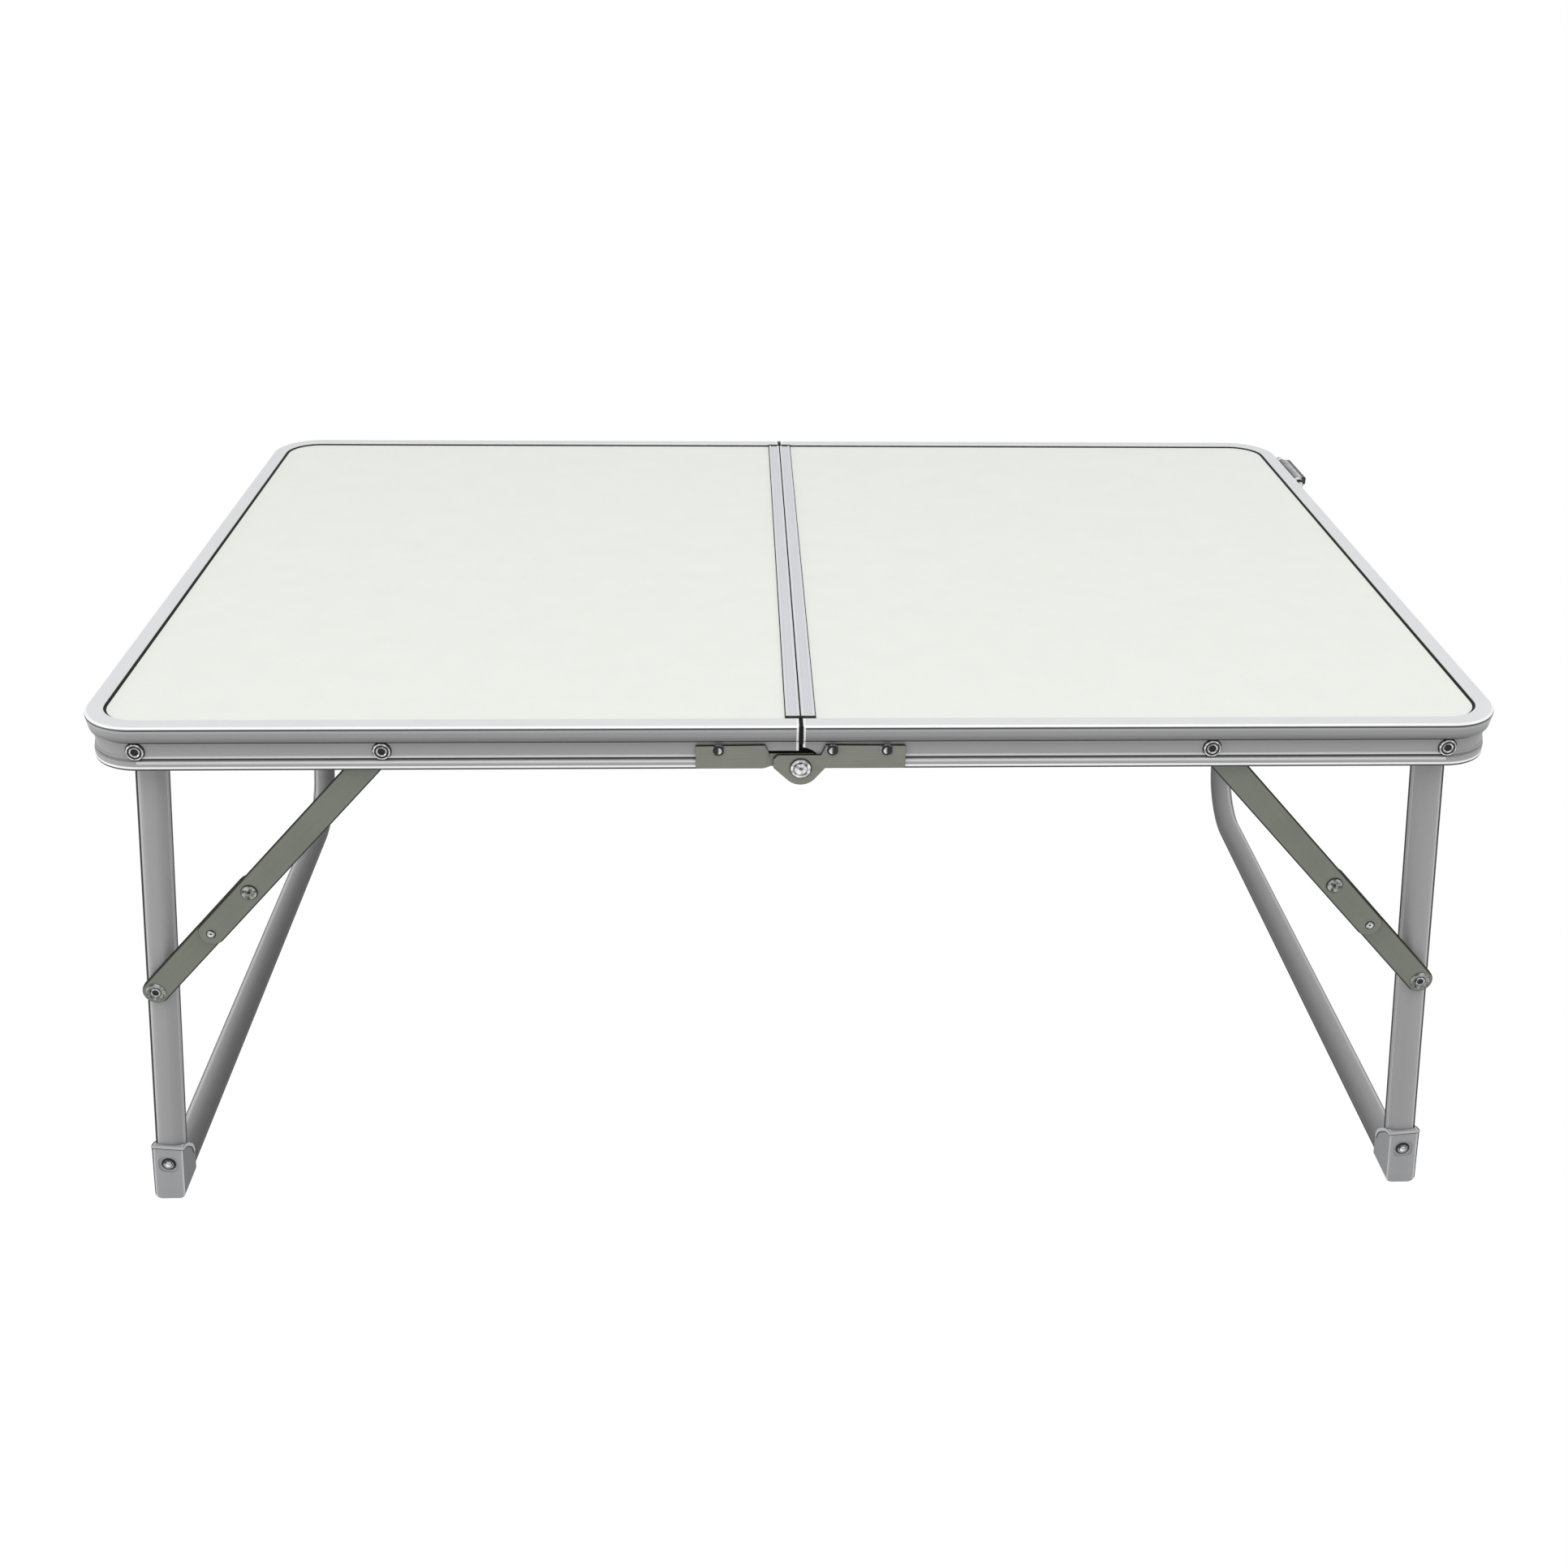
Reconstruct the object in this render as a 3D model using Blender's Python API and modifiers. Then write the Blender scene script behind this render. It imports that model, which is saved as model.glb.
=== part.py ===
"""Folding camping table: two framed half tops on centre hinges, with folding leg frames and knuckle braces.

Lengths are metres, +Z is up, X runs along the table and the front side faces -Y. The origin lies on the floor
under the middle of the table. Pieces are shaped once, for the right half and the rear side, and mirrored.
Depths are counted inward from the outermost face of the rim, and drops downward from the table top.
"""

import math

import bmesh
import bpy
from mathutils import Matrix, Vector

MM = 0.001

# Size of the table
TOP_LENGTH = 600 * MM
TOP_WIDTH = 400 * MM
TOP_HEIGHT = 255 * MM
CORNER_RADIUS = 25 * MM
SEAM_GAP = 1.5 * MM

# Fits
FIT = 0.3 * MM
SLIP = 0.3 * MM
SMALL_FIT = 0.1 * MM
OVERRUN = 5 * MM
WELD = 0.002 * MM

# Facets
CORNER_STEPS = 7
ROUND_STEPS = 14
END_STEPS = 7
FILLET_STEPS = 3
DOME_STEPS = 2

# Rim section
RIM_HEIGHT = 20 * MM
LIP_WIDTH = 8 * MM
LIP_SHEET = 0.8 * MM
BEAD_ROUND = 1.8 * MM
BEAD_HEIGHT = 5.5 * MM
BEAD_CHAMFER = 1.2 * MM
BEAD_WALL = 2 * MM
SKIRT_INSET = 4 * MM
SKIRT_WALL = 1.4 * MM
LEDGE_THICK = 1.2 * MM
LEDGE_REACH = 3 * MM
RIDGE_ABOVE_FLOOR_EDGE = 5.1 * MM
RIDGE_PROUD = 0.4 * MM
RIDGE_HEIGHT = 1.2 * MM
RIDGE_BEVEL = 0.4 * MM
GROOVE_HEIGHT = 0.9 * MM
GROOVE_DEEP = 0.3 * MM
LOWER_BEAD_HEIGHT = 2.2 * MM
LOWER_BEAD_PROUD = 0.9 * MM
LOWER_BEAD_CHAMFER = 0.5 * MM
SECTION_ROUND_STEPS = 3

# Panel and centre rail
PANEL_THICK = 2.3 * MM
PANEL_PLAY = 0.5 * MM
RAIL_SEAM_GAP = 0.6 * MM
RAIL_WIDTH = 6.5 * MM
RAIL_WALL = 1.4 * MM
RAIL_HEIGHT = 18 * MM
RAIL_LEDGE = 7.2 * MM
RAIL_LIP = 4.7 * MM
RAIL_END_GAP = 0.75 * MM

# Leg frame
LEG_SETBACK = 25 * MM
PIVOT_DROP = 12 * MM
SPLAY = math.radians(5.5)
TUBE = 13 * MM
TUBE_CORNER = 3.8 * MM
TUBE_WALL = 1 * MM
LEG_DEPTH = 19 * MM
LEG_TOP = 4 * MM
BEND_RADIUS = 27 * MM

# Foot
FOOT_HEIGHT = 33 * MM
FOOT_WIDTH = 15 * MM
FOOT_TOE_WIDTH = 13.8 * MM
FOOT_TOE_ROUND = 3.5 * MM
FOOT_FRONT_WALL = 1.8 * MM
FOOT_BACK_WALL = 1 * MM
FOOT_REACH = 19.5 * MM
FOOT_SHOULDER = 2 * MM
FOOT_COLLAR = 4 * MM
FOOT_COLLAR_STEP = 0.5 * MM
FOOT_FRONT_ROUND = 1 * MM
SOCKET_FLOOR = 16.7 * MM
BAR_SOCKET = 9 * MM
SCREW_HEIGHT = 21 * MM
SCREW_HEAD_RADIUS = 3.3 * MM
SCREW_HEAD = 0.7 * MM
SCREW_SINK = 0.9 * MM
SCREW_RADIUS = 1.6 * MM
SCREW_LENGTH = 8 * MM

# Folding brace
BRACE_SPAN = 101 * MM
BRACE_ON_LEG = 124 * MM
LINK_GAP = 1.2 * MM
LINK_THICK = 1.5 * MM
LINK_WIDTH = 12 * MM
LINK_SPACE = 1.1 * MM
CHANNEL_DEEP = 3 * MM
CHANNEL_SHEET = 1 * MM
BUMP_BEYOND = 28.5 * MM
TAIL_BEYOND = 5.5 * MM
BUMP_RADIUS = 3.5 * MM
BUMP_PROUD = 0.6 * MM
BOSS_RADIUS = 3.2 * MM

# Rivets
RIVET_HEAD_RADIUS = 4 * MM
RIVET_HEAD = 1.7 * MM
RIVET_SHANK = 2.1 * MM
RIVET_WASHER = 4.2 * MM
CORNER_CLEARANCE = 0.7 * MM
RIVET_TAIL_RADIUS = 3.6 * MM
RIVET_TAIL = 1 * MM
LOW_HEAD_RADIUS = 3.4 * MM
LOW_HEAD = 0.5 * MM
KNUCKLE_HEAD_RADIUS = 4 * MM
KNUCKLE_HEAD = 0.6 * MM

# Centre hinge
PLATE_THICK = 1.5 * MM
PLATE_LENGTH = 44 * MM
PLATE_HEIGHT = 11 * MM
PLATE_CORNER = 1.5 * MM
EAR_RADIUS = 8 * MM
EAR_TOP = 6 * MM
EAR_CHAMFER = 1.2 * MM
EAR_REACH = 12 * MM
EAR_ROOT = 10.5 * MM
JOGGLE_START = 15 * MM
JOGGLE_END = 12.6 * MM
NOTCH_HEIGHT = 8.8 * MM
NOTCH_LENGTH = 15.6 * MM
NOTCH_RADIUS = 9.8 * MM
PIN_HEAD_RADIUS = 4.7 * MM
PIN_HEAD = 0.9 * MM
PIN_SHANK = 2.2 * MM
PIN_TAIL_RADIUS = 3.4 * MM
PLATE_RIVET_RISE = 8.5 * MM
RIGHT_RIVET_PLACES = (13.2 * MM, 36 * MM)
LEFT_RIVET_PLACES = (34.5 * MM,)
PLATE_RIVET_HEAD_RADIUS = 2.75 * MM
PLATE_RIVET_HEAD = 0.8 * MM
PLATE_RIVET_SHANK = 1.5 * MM

# Case latch
LATCH_SETBACK = 44 * MM
LATCH_LENGTH = 38 * MM
LATCH_EYE = 4 * MM
LATCH_SHEET = 1.1 * MM
LATCH_BASE_HEIGHT = 7.6 * MM
LATCH_BASE_DROP = 6.4 * MM
LATCH_PIN_OUT = 3 * MM
LATCH_PIN_DROP = 4.3 * MM
LATCH_PIN_RADIUS = 1.2 * MM
LATCH_PIN_HEAD_RADIUS = 1.9 * MM
LATCH_PIN_HEAD = 1 * MM
LATCH_EYE_RADIUS = 2.6 * MM
LATCH_ROLL_RADIUS = 2.5 * MM
LATCH_REACH = 5.2 * MM
LATCH_HOOK = 4.4 * MM
CATCH_LENGTH = 30 * MM
CATCH_HEIGHT = 6 * MM
CATCH_LIP = 1.2 * MM

# Places worked out from the sizes above
BEAD_FACE = TOP_WIDTH / 2
LEG_X = TOP_LENGTH / 2 - LEG_SETBACK
BRACE_X = LEG_X - BRACE_SPAN
PIVOT_Z = TOP_HEIGHT - PIVOT_DROP
HINGE_Z = TOP_HEIGHT - RIM_HEIGHT
SLOT_TOP = LIP_SHEET
PANEL_TOP = SLOT_TOP + FIT
PANEL_BOTTOM = PANEL_TOP + PANEL_THICK
SLOT_BOTTOM = PANEL_BOTTOM + FIT
LEDGE_BOTTOM = SLOT_BOTTOM + LEDGE_THICK
SKIRT_BACK = SKIRT_INSET + SKIRT_WALL
LINK_FRONT = SKIRT_BACK + LINK_GAP
LINK_BACK = LINK_FRONT + LINK_THICK
CHANNEL_FRONT = LINK_BACK + LINK_SPACE
CHANNEL_BACK = CHANNEL_FRONT + CHANNEL_DEEP
LEG_FRONT = LEG_DEPTH - TUBE / 2
LEG_BACK = LEG_DEPTH + TUBE / 2
BRACE_OUT = BRACE_ON_LEG * math.sin(SPLAY)
BRACE_DOWN = BRACE_ON_LEG * math.cos(SPLAY)
BRACE_LENGTH = math.hypot(BRACE_SPAN + BRACE_OUT, BRACE_DOWN)
BRACE_LEAN = math.atan2(BRACE_SPAN + BRACE_OUT, BRACE_DOWN)
UPPER_LINK = (BRACE_LENGTH + BRACE_ON_LEG - BRACE_SPAN) / 2
LOWER_LINK = BRACE_LENGTH - UPPER_LINK
BAR_RISE = (TUBE / 2 - TUBE_CORNER) * (math.cos(SPLAY) + math.sin(SPLAY)) + TUBE_CORNER
BAR_DROP = (PIVOT_Z - BAR_RISE) / math.cos(SPLAY)
FLOOR_DROP = PIVOT_Z / math.cos(SPLAY)
EAR_FRONT = PIN_HEAD + FIT + SMALL_FIT
EAR_BACK = EAR_FRONT + PLATE_THICK
REAR_EAR_FRONT = EAR_BACK + FIT
REAR_EAR_BACK = REAR_EAR_FRONT + PLATE_THICK
LATCH_FACE = TOP_LENGTH / 2
LATCH_PLACE = TOP_WIDTH / 2 - LATCH_SETBACK

MAIN = "folding_camping_table"
CUTTERS = "cutters"
SIDES = {"left": -1, "right": 1}
FACES = {"front": -1, "rear": 1}


# Scene, materials and placing

def clear_scene():
    for obj in list(bpy.data.objects):
        bpy.data.objects.remove(obj, do_unlink=True)


def add_collection(name):
    found = bpy.data.collections.new(name)
    bpy.context.scene.collection.children.link(found)
    return found


def make_material(name, colour, roughness, metallic):
    made = bpy.data.materials.new(name)
    made.use_nodes = True
    shader = made.node_tree.nodes["Principled BSDF"]
    shader.inputs["Base Color"].default_value = (*colour, 1)
    shader.inputs["Roughness"].default_value = roughness
    shader.inputs["Metallic"].default_value = metallic
    made.diffuse_color = (*colour, 1)
    return made


def add_frame(name, matrix, parent=None):
    """An empty that carries the pieces of one moving body, with its origin on the joint axis."""
    frame = bpy.data.objects.new(name, None)
    frame.empty_display_size = RIM_HEIGHT
    bpy.data.collections[MAIN].objects.link(frame)
    if parent is not None:
        frame.parent = parent
        frame.matrix_parent_inverse = parent.matrix_world.inverted()
    frame.matrix_world = matrix
    bpy.context.view_layer.update()
    return frame


def add_piece(name, mesh, material, parent, matrix, smooth=False):
    piece = bpy.data.objects.new(name, mesh)
    bpy.data.collections[MAIN].objects.link(piece)
    piece.parent = parent
    piece.matrix_parent_inverse = parent.matrix_world.inverted()
    piece.matrix_world = matrix
    if not mesh.materials:
        mesh.materials.append(bpy.data.materials[material])
    if smooth:
        mesh.shade_smooth()
        mesh.set_sharp_from_angle(angle=math.radians(40))
    bpy.context.view_layer.update()
    return piece


def cut(piece, mesh, matrix, operation="DIFFERENCE"):
    """Takes the given solid out of the piece, or joins or keeps it, as the operation says."""
    cutter = bpy.data.objects.new(f"{piece.name}_{operation.lower()}_{len(piece.modifiers)}", mesh)
    bpy.data.collections[CUTTERS].objects.link(cutter)
    cutter.matrix_world = matrix
    cutter.hide_render = True
    cutter.display_type = "WIRE"
    step = piece.modifiers.new(cutter.name, "BOOLEAN")
    step.operation = operation
    step.solver = "EXACT"
    step.object = cutter
    bpy.context.view_layer.update()


def mirrored(mesh, side, face):
    """The mesh for one quadrant of the table, from the one shaped for the right half and the rear side."""
    copy = mesh.copy()
    copy.transform(Matrix.Diagonal((side, face, 1, 1)))
    if side * face < 0:
        copy.flip_normals()
    return copy


def quadrant_matrix(side, face, x, z, lean=0):
    """Where a piece's origin stands: on the bead face of its side, turned outward at its foot by lean."""
    return Matrix.Translation((side * x, face * BEAD_FACE, z)) @ Matrix.Rotation(-side * lean, 4, "Y")


# Outlines

def arc(centre, radius, start, end, steps):
    turn = (end - start) / steps
    return [
        (centre[0] + radius * math.cos(start + turn * i), centre[1] + radius * math.sin(start + turn * i))
        for i in range(steps + 1)
    ]


def circle(centre, radius, steps=ROUND_STEPS):
    return arc(centre, radius, 0, math.tau, steps)[:-1]


def rounded(corners, steps=FILLET_STEPS):
    """The outline through corners given as (x, y, radius), each turned by an arc of its radius."""
    points = []
    for i, (x, y, radius) in enumerate(corners):
        here = Vector((x, y))
        if not radius:
            points.append((x, y))
            continue
        before = (Vector(corners[i - 1][:2]) - here).normalized()
        after = (Vector(corners[(i + 1) % len(corners)][:2]) - here).normalized()
        half = before.angle(after) / 2
        centre = here + (before + after).normalized() * radius / math.sin(half)
        first = here + before * radius / math.tan(half) - centre
        last = here + after * radius / math.tan(half) - centre
        start = math.atan2(first.y, first.x)
        turn = (math.atan2(last.y, last.x) - start + math.pi) % math.tau - math.pi
        points += arc(centre, radius, start, start + turn, steps)
    return points


def strap(length, radius, beyond=0):
    """A strap outline from a pivot at zero down to a pivot at the given length, with round ends."""
    bottom = arc((0, -length - beyond), radius, -math.pi, 0, END_STEPS)
    return bottom + arc((0, 0), radius, 0, math.pi, END_STEPS)


def rounded_square(half, corner):
    return rounded([(-half, -half, corner), (half, -half, corner), (half, half, corner), (-half, half, corner)])


# Solids

AXES = {
    "x": Matrix(((0, 0, 1, 0), (1, 0, 0, 0), (0, 1, 0, 0), (0, 0, 0, 1))),
    "y": Matrix(((1, 0, 0, 0), (0, 0, 1, 0), (0, 1, 0, 0), (0, 0, 0, 1))),
    "z": Matrix.Identity(4),
}


def add_spline(data, points, closed):
    spline = data.splines.new("POLY")
    spline.points.add(len(points) - 1)
    for target, (x, y) in zip(spline.points, points):
        target.co = (x, y, 0, 1)
    spline.use_cyclic_u = closed


def curve_mesh(curve, others=()):
    """The closed mesh of a curve object, which is removed with its helpers."""
    bpy.context.view_layer.update()
    graph = bpy.context.evaluated_depsgraph_get()
    mesh = bpy.data.meshes.new_from_object(curve.evaluated_get(graph))
    for obj in (curve, *others):
        data = obj.data
        bpy.data.objects.remove(obj, do_unlink=True)
        bpy.data.curves.remove(data)
    return tidy(mesh)


def tidy(mesh):
    shape = bmesh.new()
    shape.from_mesh(mesh)
    bmesh.ops.remove_doubles(shape, verts=shape.verts, dist=WELD)
    bmesh.ops.recalc_face_normals(shape, faces=shape.faces)
    shape.to_mesh(mesh)
    shape.free()
    return mesh


def new_curve(name):
    data = bpy.data.curves.new(name, "CURVE")
    data.dimensions = "2D"
    obj = bpy.data.objects.new(name, data)
    bpy.context.scene.collection.objects.link(obj)
    return obj


def slab(loops, low, high, axis):
    """A flat solid: its first loop is the outline, any others are holes, and it fills low to high on the axis."""
    curve = new_curve("slab")
    for loop in loops:
        add_spline(curve.data, loop, True)
    curve.data.fill_mode = "BOTH"
    curve.data.extrude = (high - low) / 2
    mesh = curve_mesh(curve)
    mesh.transform(Matrix.Translation((0, 0, (low + high) / 2)))
    mesh.transform(AXES[axis])
    return tidy(mesh)


def swept(path, section, axis):
    """A solid bar of the given section along a flat path, whose plane stands square to the axis."""
    profile = new_curve("section")
    add_spline(profile.data, section, True)
    curve = new_curve("path")
    add_spline(curve.data, path, False)
    curve.data.bevel_mode = "OBJECT"
    curve.data.bevel_object = profile
    curve.data.use_fill_caps = True
    mesh = curve_mesh(curve, (profile,))
    mesh.transform(AXES[axis])
    return tidy(mesh)


def revolved(profile, steps=ROUND_STEPS):
    """A round solid about the Y axis from (depth, radius) points, its depth counted toward -Y."""
    mesh = bpy.data.meshes.new("revolved")
    points = [(radius, 0, depth) for depth, radius in profile]
    mesh.from_pydata(points, [(i, i + 1) for i in range(len(points) - 1)], [])
    obj = bpy.data.objects.new("revolved", mesh)
    bpy.context.scene.collection.objects.link(obj)
    screw = obj.modifiers.new("turn", "SCREW")
    screw.steps = steps
    screw.render_steps = steps
    screw.use_merge_vertices = True
    screw.merge_threshold = WELD
    bpy.context.view_layer.update()
    graph = bpy.context.evaluated_depsgraph_get()
    turned = bpy.data.meshes.new_from_object(obj.evaluated_get(graph))
    bpy.data.objects.remove(obj, do_unlink=True)
    bpy.data.meshes.remove(mesh)
    turned.transform(Matrix.Rotation(math.radians(90), 4, "X"))
    return tidy(turned)


def joined(meshes):
    """Separate solids kept in one mesh, as a cutter holds them."""
    shape = bmesh.new()
    for mesh in meshes:
        shape.from_mesh(mesh)
    made = bpy.data.meshes.new("joined")
    shape.to_mesh(made)
    shape.free()
    return made


def moved(mesh, x, y, z):
    copy = mesh.copy()
    copy.transform(Matrix.Translation((x, y, z)))
    return copy


def dome(front, base, radius):
    """The profile of a low domed head, from its middle out to its rim."""
    turn = math.pi / 2 / DOME_STEPS
    return [
        (base - (base - front) * math.cos(turn * i), radius * math.sin(turn * i)) for i in range(DOME_STEPS + 1)
    ]


def rivet(front, base, radius, shank, collars):
    """A rivet along its axis: a domed head, the shank, and collars given as (from, to, radius), tail last."""
    profile = dome(front, base, radius)
    profile.append((base, shank))
    for start, end, wide in collars:
        profile += [(start, shank), (start, wide), (end, wide), (end, shank)]
    profile[-1] = (profile[-1][0], 0)
    return revolved(profile)


# Rims, centre rails and panels

def rim_section():
    """The rim's section as (outward, up) from the outermost bead line at the table top."""
    skirt = -SKIRT_INSET
    ridge = -RIM_HEIGHT + RIDGE_ABOVE_FLOOR_EDGE
    ridge_end = ridge - RIDGE_HEIGHT
    groove_end = -RIM_HEIGHT + LOWER_BEAD_HEIGHT
    back = -SKIRT_BACK
    bevel = RIDGE_BEVEL
    points = [(-LIP_WIDTH, 0)]
    points += arc((-BEAD_ROUND, -BEAD_ROUND), BEAD_ROUND, math.pi / 2, 0, SECTION_ROUND_STEPS)
    points += [(0, -BEAD_HEIGHT + BEAD_CHAMFER), (-BEAD_CHAMFER, -BEAD_HEIGHT), (skirt, -BEAD_HEIGHT)]
    points += [(skirt, ridge), (skirt + RIDGE_PROUD, ridge - bevel), (skirt + RIDGE_PROUD, ridge_end + bevel)]
    points += [(skirt - GROOVE_DEEP, ridge_end), (skirt - GROOVE_DEEP, ridge_end - GROOVE_HEIGHT)]
    points += [(skirt + LOWER_BEAD_PROUD, groove_end), (skirt + LOWER_BEAD_PROUD, -RIM_HEIGHT + LOWER_BEAD_CHAMFER)]
    points += [(skirt + LOWER_BEAD_PROUD - LOWER_BEAD_CHAMFER, -RIM_HEIGHT), (back, -RIM_HEIGHT)]
    points += [(back, -LEDGE_BOTTOM), (back - LEDGE_REACH, -LEDGE_BOTTOM), (back - LEDGE_REACH, -SLOT_BOTTOM)]
    points += [(-BEAD_WALL, -SLOT_BOTTOM), (-BEAD_WALL, -SLOT_TOP), (-LIP_WIDTH, -SLOT_TOP)]
    return points


def half_outline(inset, seam):
    """The path round a right half from the front end of the seam to the rear end, inset from the bead face."""
    x = TOP_LENGTH / 2 - inset
    y = TOP_WIDTH / 2 - inset
    radius = CORNER_RADIUS - inset
    path = [(seam, -y)]
    path += arc((x - radius, -y + radius), radius, -math.pi / 2, 0, CORNER_STEPS)
    path += arc((x - radius, y - radius), radius, 0, math.pi / 2, CORNER_STEPS)
    path.append((seam, y))
    return path


def pivot_hole(radius, front, back):
    return slab([circle((0, 0), radius)], -back, -front, "y")


def rim_holes(side):
    """The rivet holes of one rim, for both its long sides."""
    front = SKIRT_INSET - RIDGE_PROUD - LOWER_BEAD_PROUD
    back = SKIRT_BACK + OVERRUN
    wide = pivot_hole(RIVET_SHANK + SLIP, front, back)
    small = pivot_hole(PLATE_RIVET_SHANK + SLIP, front, back)
    holes = [moved(wide, LEG_X, 0, PIVOT_Z), moved(wide, BRACE_X, 0, PIVOT_Z)]
    places = RIGHT_RIVET_PLACES if side > 0 else LEFT_RIVET_PLACES
    holes += [moved(small, x, 0, HINGE_Z + PLATE_RIVET_RISE) for x in places]
    both = []
    for face in FACES.values():
        both += [moved(mirrored(hole, side, face), 0, face * BEAD_FACE, 0) for hole in holes]
    return joined(both)


def seam_notch(side):
    """The clearance for the hinge ears at the seam end of one rim: a round one right, a square one left."""
    if side > 0:
        outline = circle((0, 0), NOTCH_RADIUS, ROUND_STEPS * 2)
    else:
        outline = [
            (-OVERRUN, -OVERRUN),
            (NOTCH_LENGTH, -OVERRUN),
            (NOTCH_LENGTH, NOTCH_HEIGHT),
            (-OVERRUN, NOTCH_HEIGHT),
        ]
    solid = slab([outline], -SKIRT_BACK - OVERRUN / 2, OVERRUN, "y")
    return joined([moved(mirrored(solid, side, face), 0, face * BEAD_FACE, 0) for face in FACES.values()])


def add_rim(name, side, parent):
    path = half_outline(0, SEAM_GAP / 2)
    mesh = swept(path, rim_section(), "z")
    rim = add_piece(
        f"{name}_rim", mirrored(mesh, side, 1), "aluminium", parent, Matrix.Translation((0, 0, TOP_HEIGHT))
    )
    cut(rim, rim_holes(side), Matrix.Identity(4))
    cut(rim, seam_notch(side), Matrix.Translation((0, 0, HINGE_Z)))


def add_center_rail(name, side, parent):
    near = RAIL_SEAM_GAP / 2
    wall = near + RAIL_WALL
    reach = near + RAIL_LEDGE
    end = TOP_WIDTH / 2 - LIP_WIDTH - RAIL_END_GAP
    outline = [(near, 0), (near + RAIL_WIDTH, 0), (near + RAIL_WIDTH, -SLOT_TOP), (wall, -SLOT_TOP)]
    outline += [(wall, -SLOT_BOTTOM), (reach, -SLOT_BOTTOM), (reach, -LEDGE_BOTTOM), (wall, -LEDGE_BOTTOM)]
    outline += [(wall, -RAIL_HEIGHT + RAIL_WALL), (near + RAIL_LIP, -RAIL_HEIGHT + RAIL_WALL)]
    outline += [(near + RAIL_LIP, -RAIL_HEIGHT), (near, -RAIL_HEIGHT)]
    mesh = mirrored(slab([outline], -end, end, "y"), side, 1)
    add_piece(f"{name}_center_rail", mesh, "rail", parent, Matrix.Translation((0, 0, TOP_HEIGHT)))


def add_panel(name, side, parent):
    outline = half_outline(BEAD_WALL + PANEL_PLAY, RAIL_SEAM_GAP / 2 + RAIL_WALL + PANEL_PLAY)
    mesh = mirrored(slab([outline], -PANEL_BOTTOM, -PANEL_TOP, "z"), side, 1)
    add_piece(f"{name}_panel", mesh, "laminate", parent, Matrix.Translation((0, 0, TOP_HEIGHT)))


# Centre hinges

def tangent_point(reach, radius, side):
    """Where a line from a point at reach beside the pivot touches the lower half of the ear's round."""
    angle = math.acos(radius / reach)
    return (side * radius * math.cos(angle), -radius * math.sin(angle))


def ear_round(left, right):
    """The round lower end of an ear between its two tangent points."""
    start = math.atan2(left[1], left[0])
    end = math.atan2(right[1], right[0])
    return arc((0, 0), EAR_RADIUS, start, end, END_STEPS)


def plate_end():
    """The plate's lower edge from the ear's root out to its far end, with two rounded corners."""
    return rounded(
        [(EAR_ROOT, 0, 0), (PLATE_LENGTH, 0, PLATE_CORNER), (PLATE_LENGTH, PLATE_HEIGHT, PLATE_CORNER)]
    )


def right_plate_outline():
    flare = tangent_point(EAR_REACH, EAR_RADIUS, -1)
    root = tangent_point(EAR_ROOT, EAR_RADIUS, 1)
    outline = [(-EAR_REACH + EAR_CHAMFER, EAR_TOP), (-EAR_REACH, EAR_TOP - EAR_CHAMFER), (-EAR_REACH, 0)]
    outline += ear_round(flare, root)
    outline += plate_end()
    outline += [(EAR_ROOT, PLATE_HEIGHT), (EAR_ROOT - EAR_CHAMFER, EAR_TOP)]
    return outline


def right_plate():
    holes = [circle((0, 0), PIN_SHANK + SLIP)]
    holes += [circle((x, PLATE_RIVET_RISE), PLATE_RIVET_SHANK + SLIP) for x in RIGHT_RIVET_PLACES]
    return slab([right_plate_outline(), *holes], -EAR_BACK, -EAR_FRONT, "y")


def left_plate():
    """The plate with a set-back ear: its thickness profile along X, kept where the outline covers it."""
    step = REAR_EAR_FRONT - EAR_FRONT
    flat = [(-EAR_RADIUS - OVERRUN, -REAR_EAR_FRONT), (JOGGLE_END, -REAR_EAR_FRONT), (JOGGLE_START, -EAR_FRONT)]
    flat += [(PLATE_LENGTH, -EAR_FRONT), (PLATE_LENGTH, -EAR_BACK), (JOGGLE_START, -EAR_BACK)]
    flat += [(JOGGLE_END, -EAR_BACK - step), (-EAR_RADIUS - OVERRUN, -REAR_EAR_BACK)]
    return slab([flat], -EAR_RADIUS - OVERRUN, PLATE_HEIGHT + OVERRUN, "z")


def left_plate_outline():
    """The left plate's face, its ear at the pivot and its body outward, with its pin and rivet holes."""
    root = tangent_point(EAR_ROOT, EAR_RADIUS, 1)
    side = math.sqrt(EAR_RADIUS**2 - EAR_TOP**2)
    start = math.atan2(EAR_TOP, -side)
    end = math.atan2(root[1], root[0]) + math.tau
    outline = arc((0, 0), EAR_RADIUS, start, end, END_STEPS * 2)
    outline += plate_end()
    outline += [(JOGGLE_START, PLATE_HEIGHT), (JOGGLE_START - EAR_CHAMFER, EAR_TOP)]
    holes = [circle((0, 0), PIN_SHANK + SLIP)]
    holes += [circle((x, PLATE_RIVET_RISE), PLATE_RIVET_SHANK + SLIP) for x in LEFT_RIVET_PLACES]
    return [outline, *holes]


def hinge_pin():
    tail = (REAR_EAR_BACK + FIT, REAR_EAR_BACK + FIT + RIVET_TAIL, PIN_TAIL_RADIUS)
    return rivet(EAR_FRONT - FIT - PIN_HEAD, EAR_FRONT - FIT, PIN_HEAD_RADIUS, PIN_SHANK, [tail])


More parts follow.
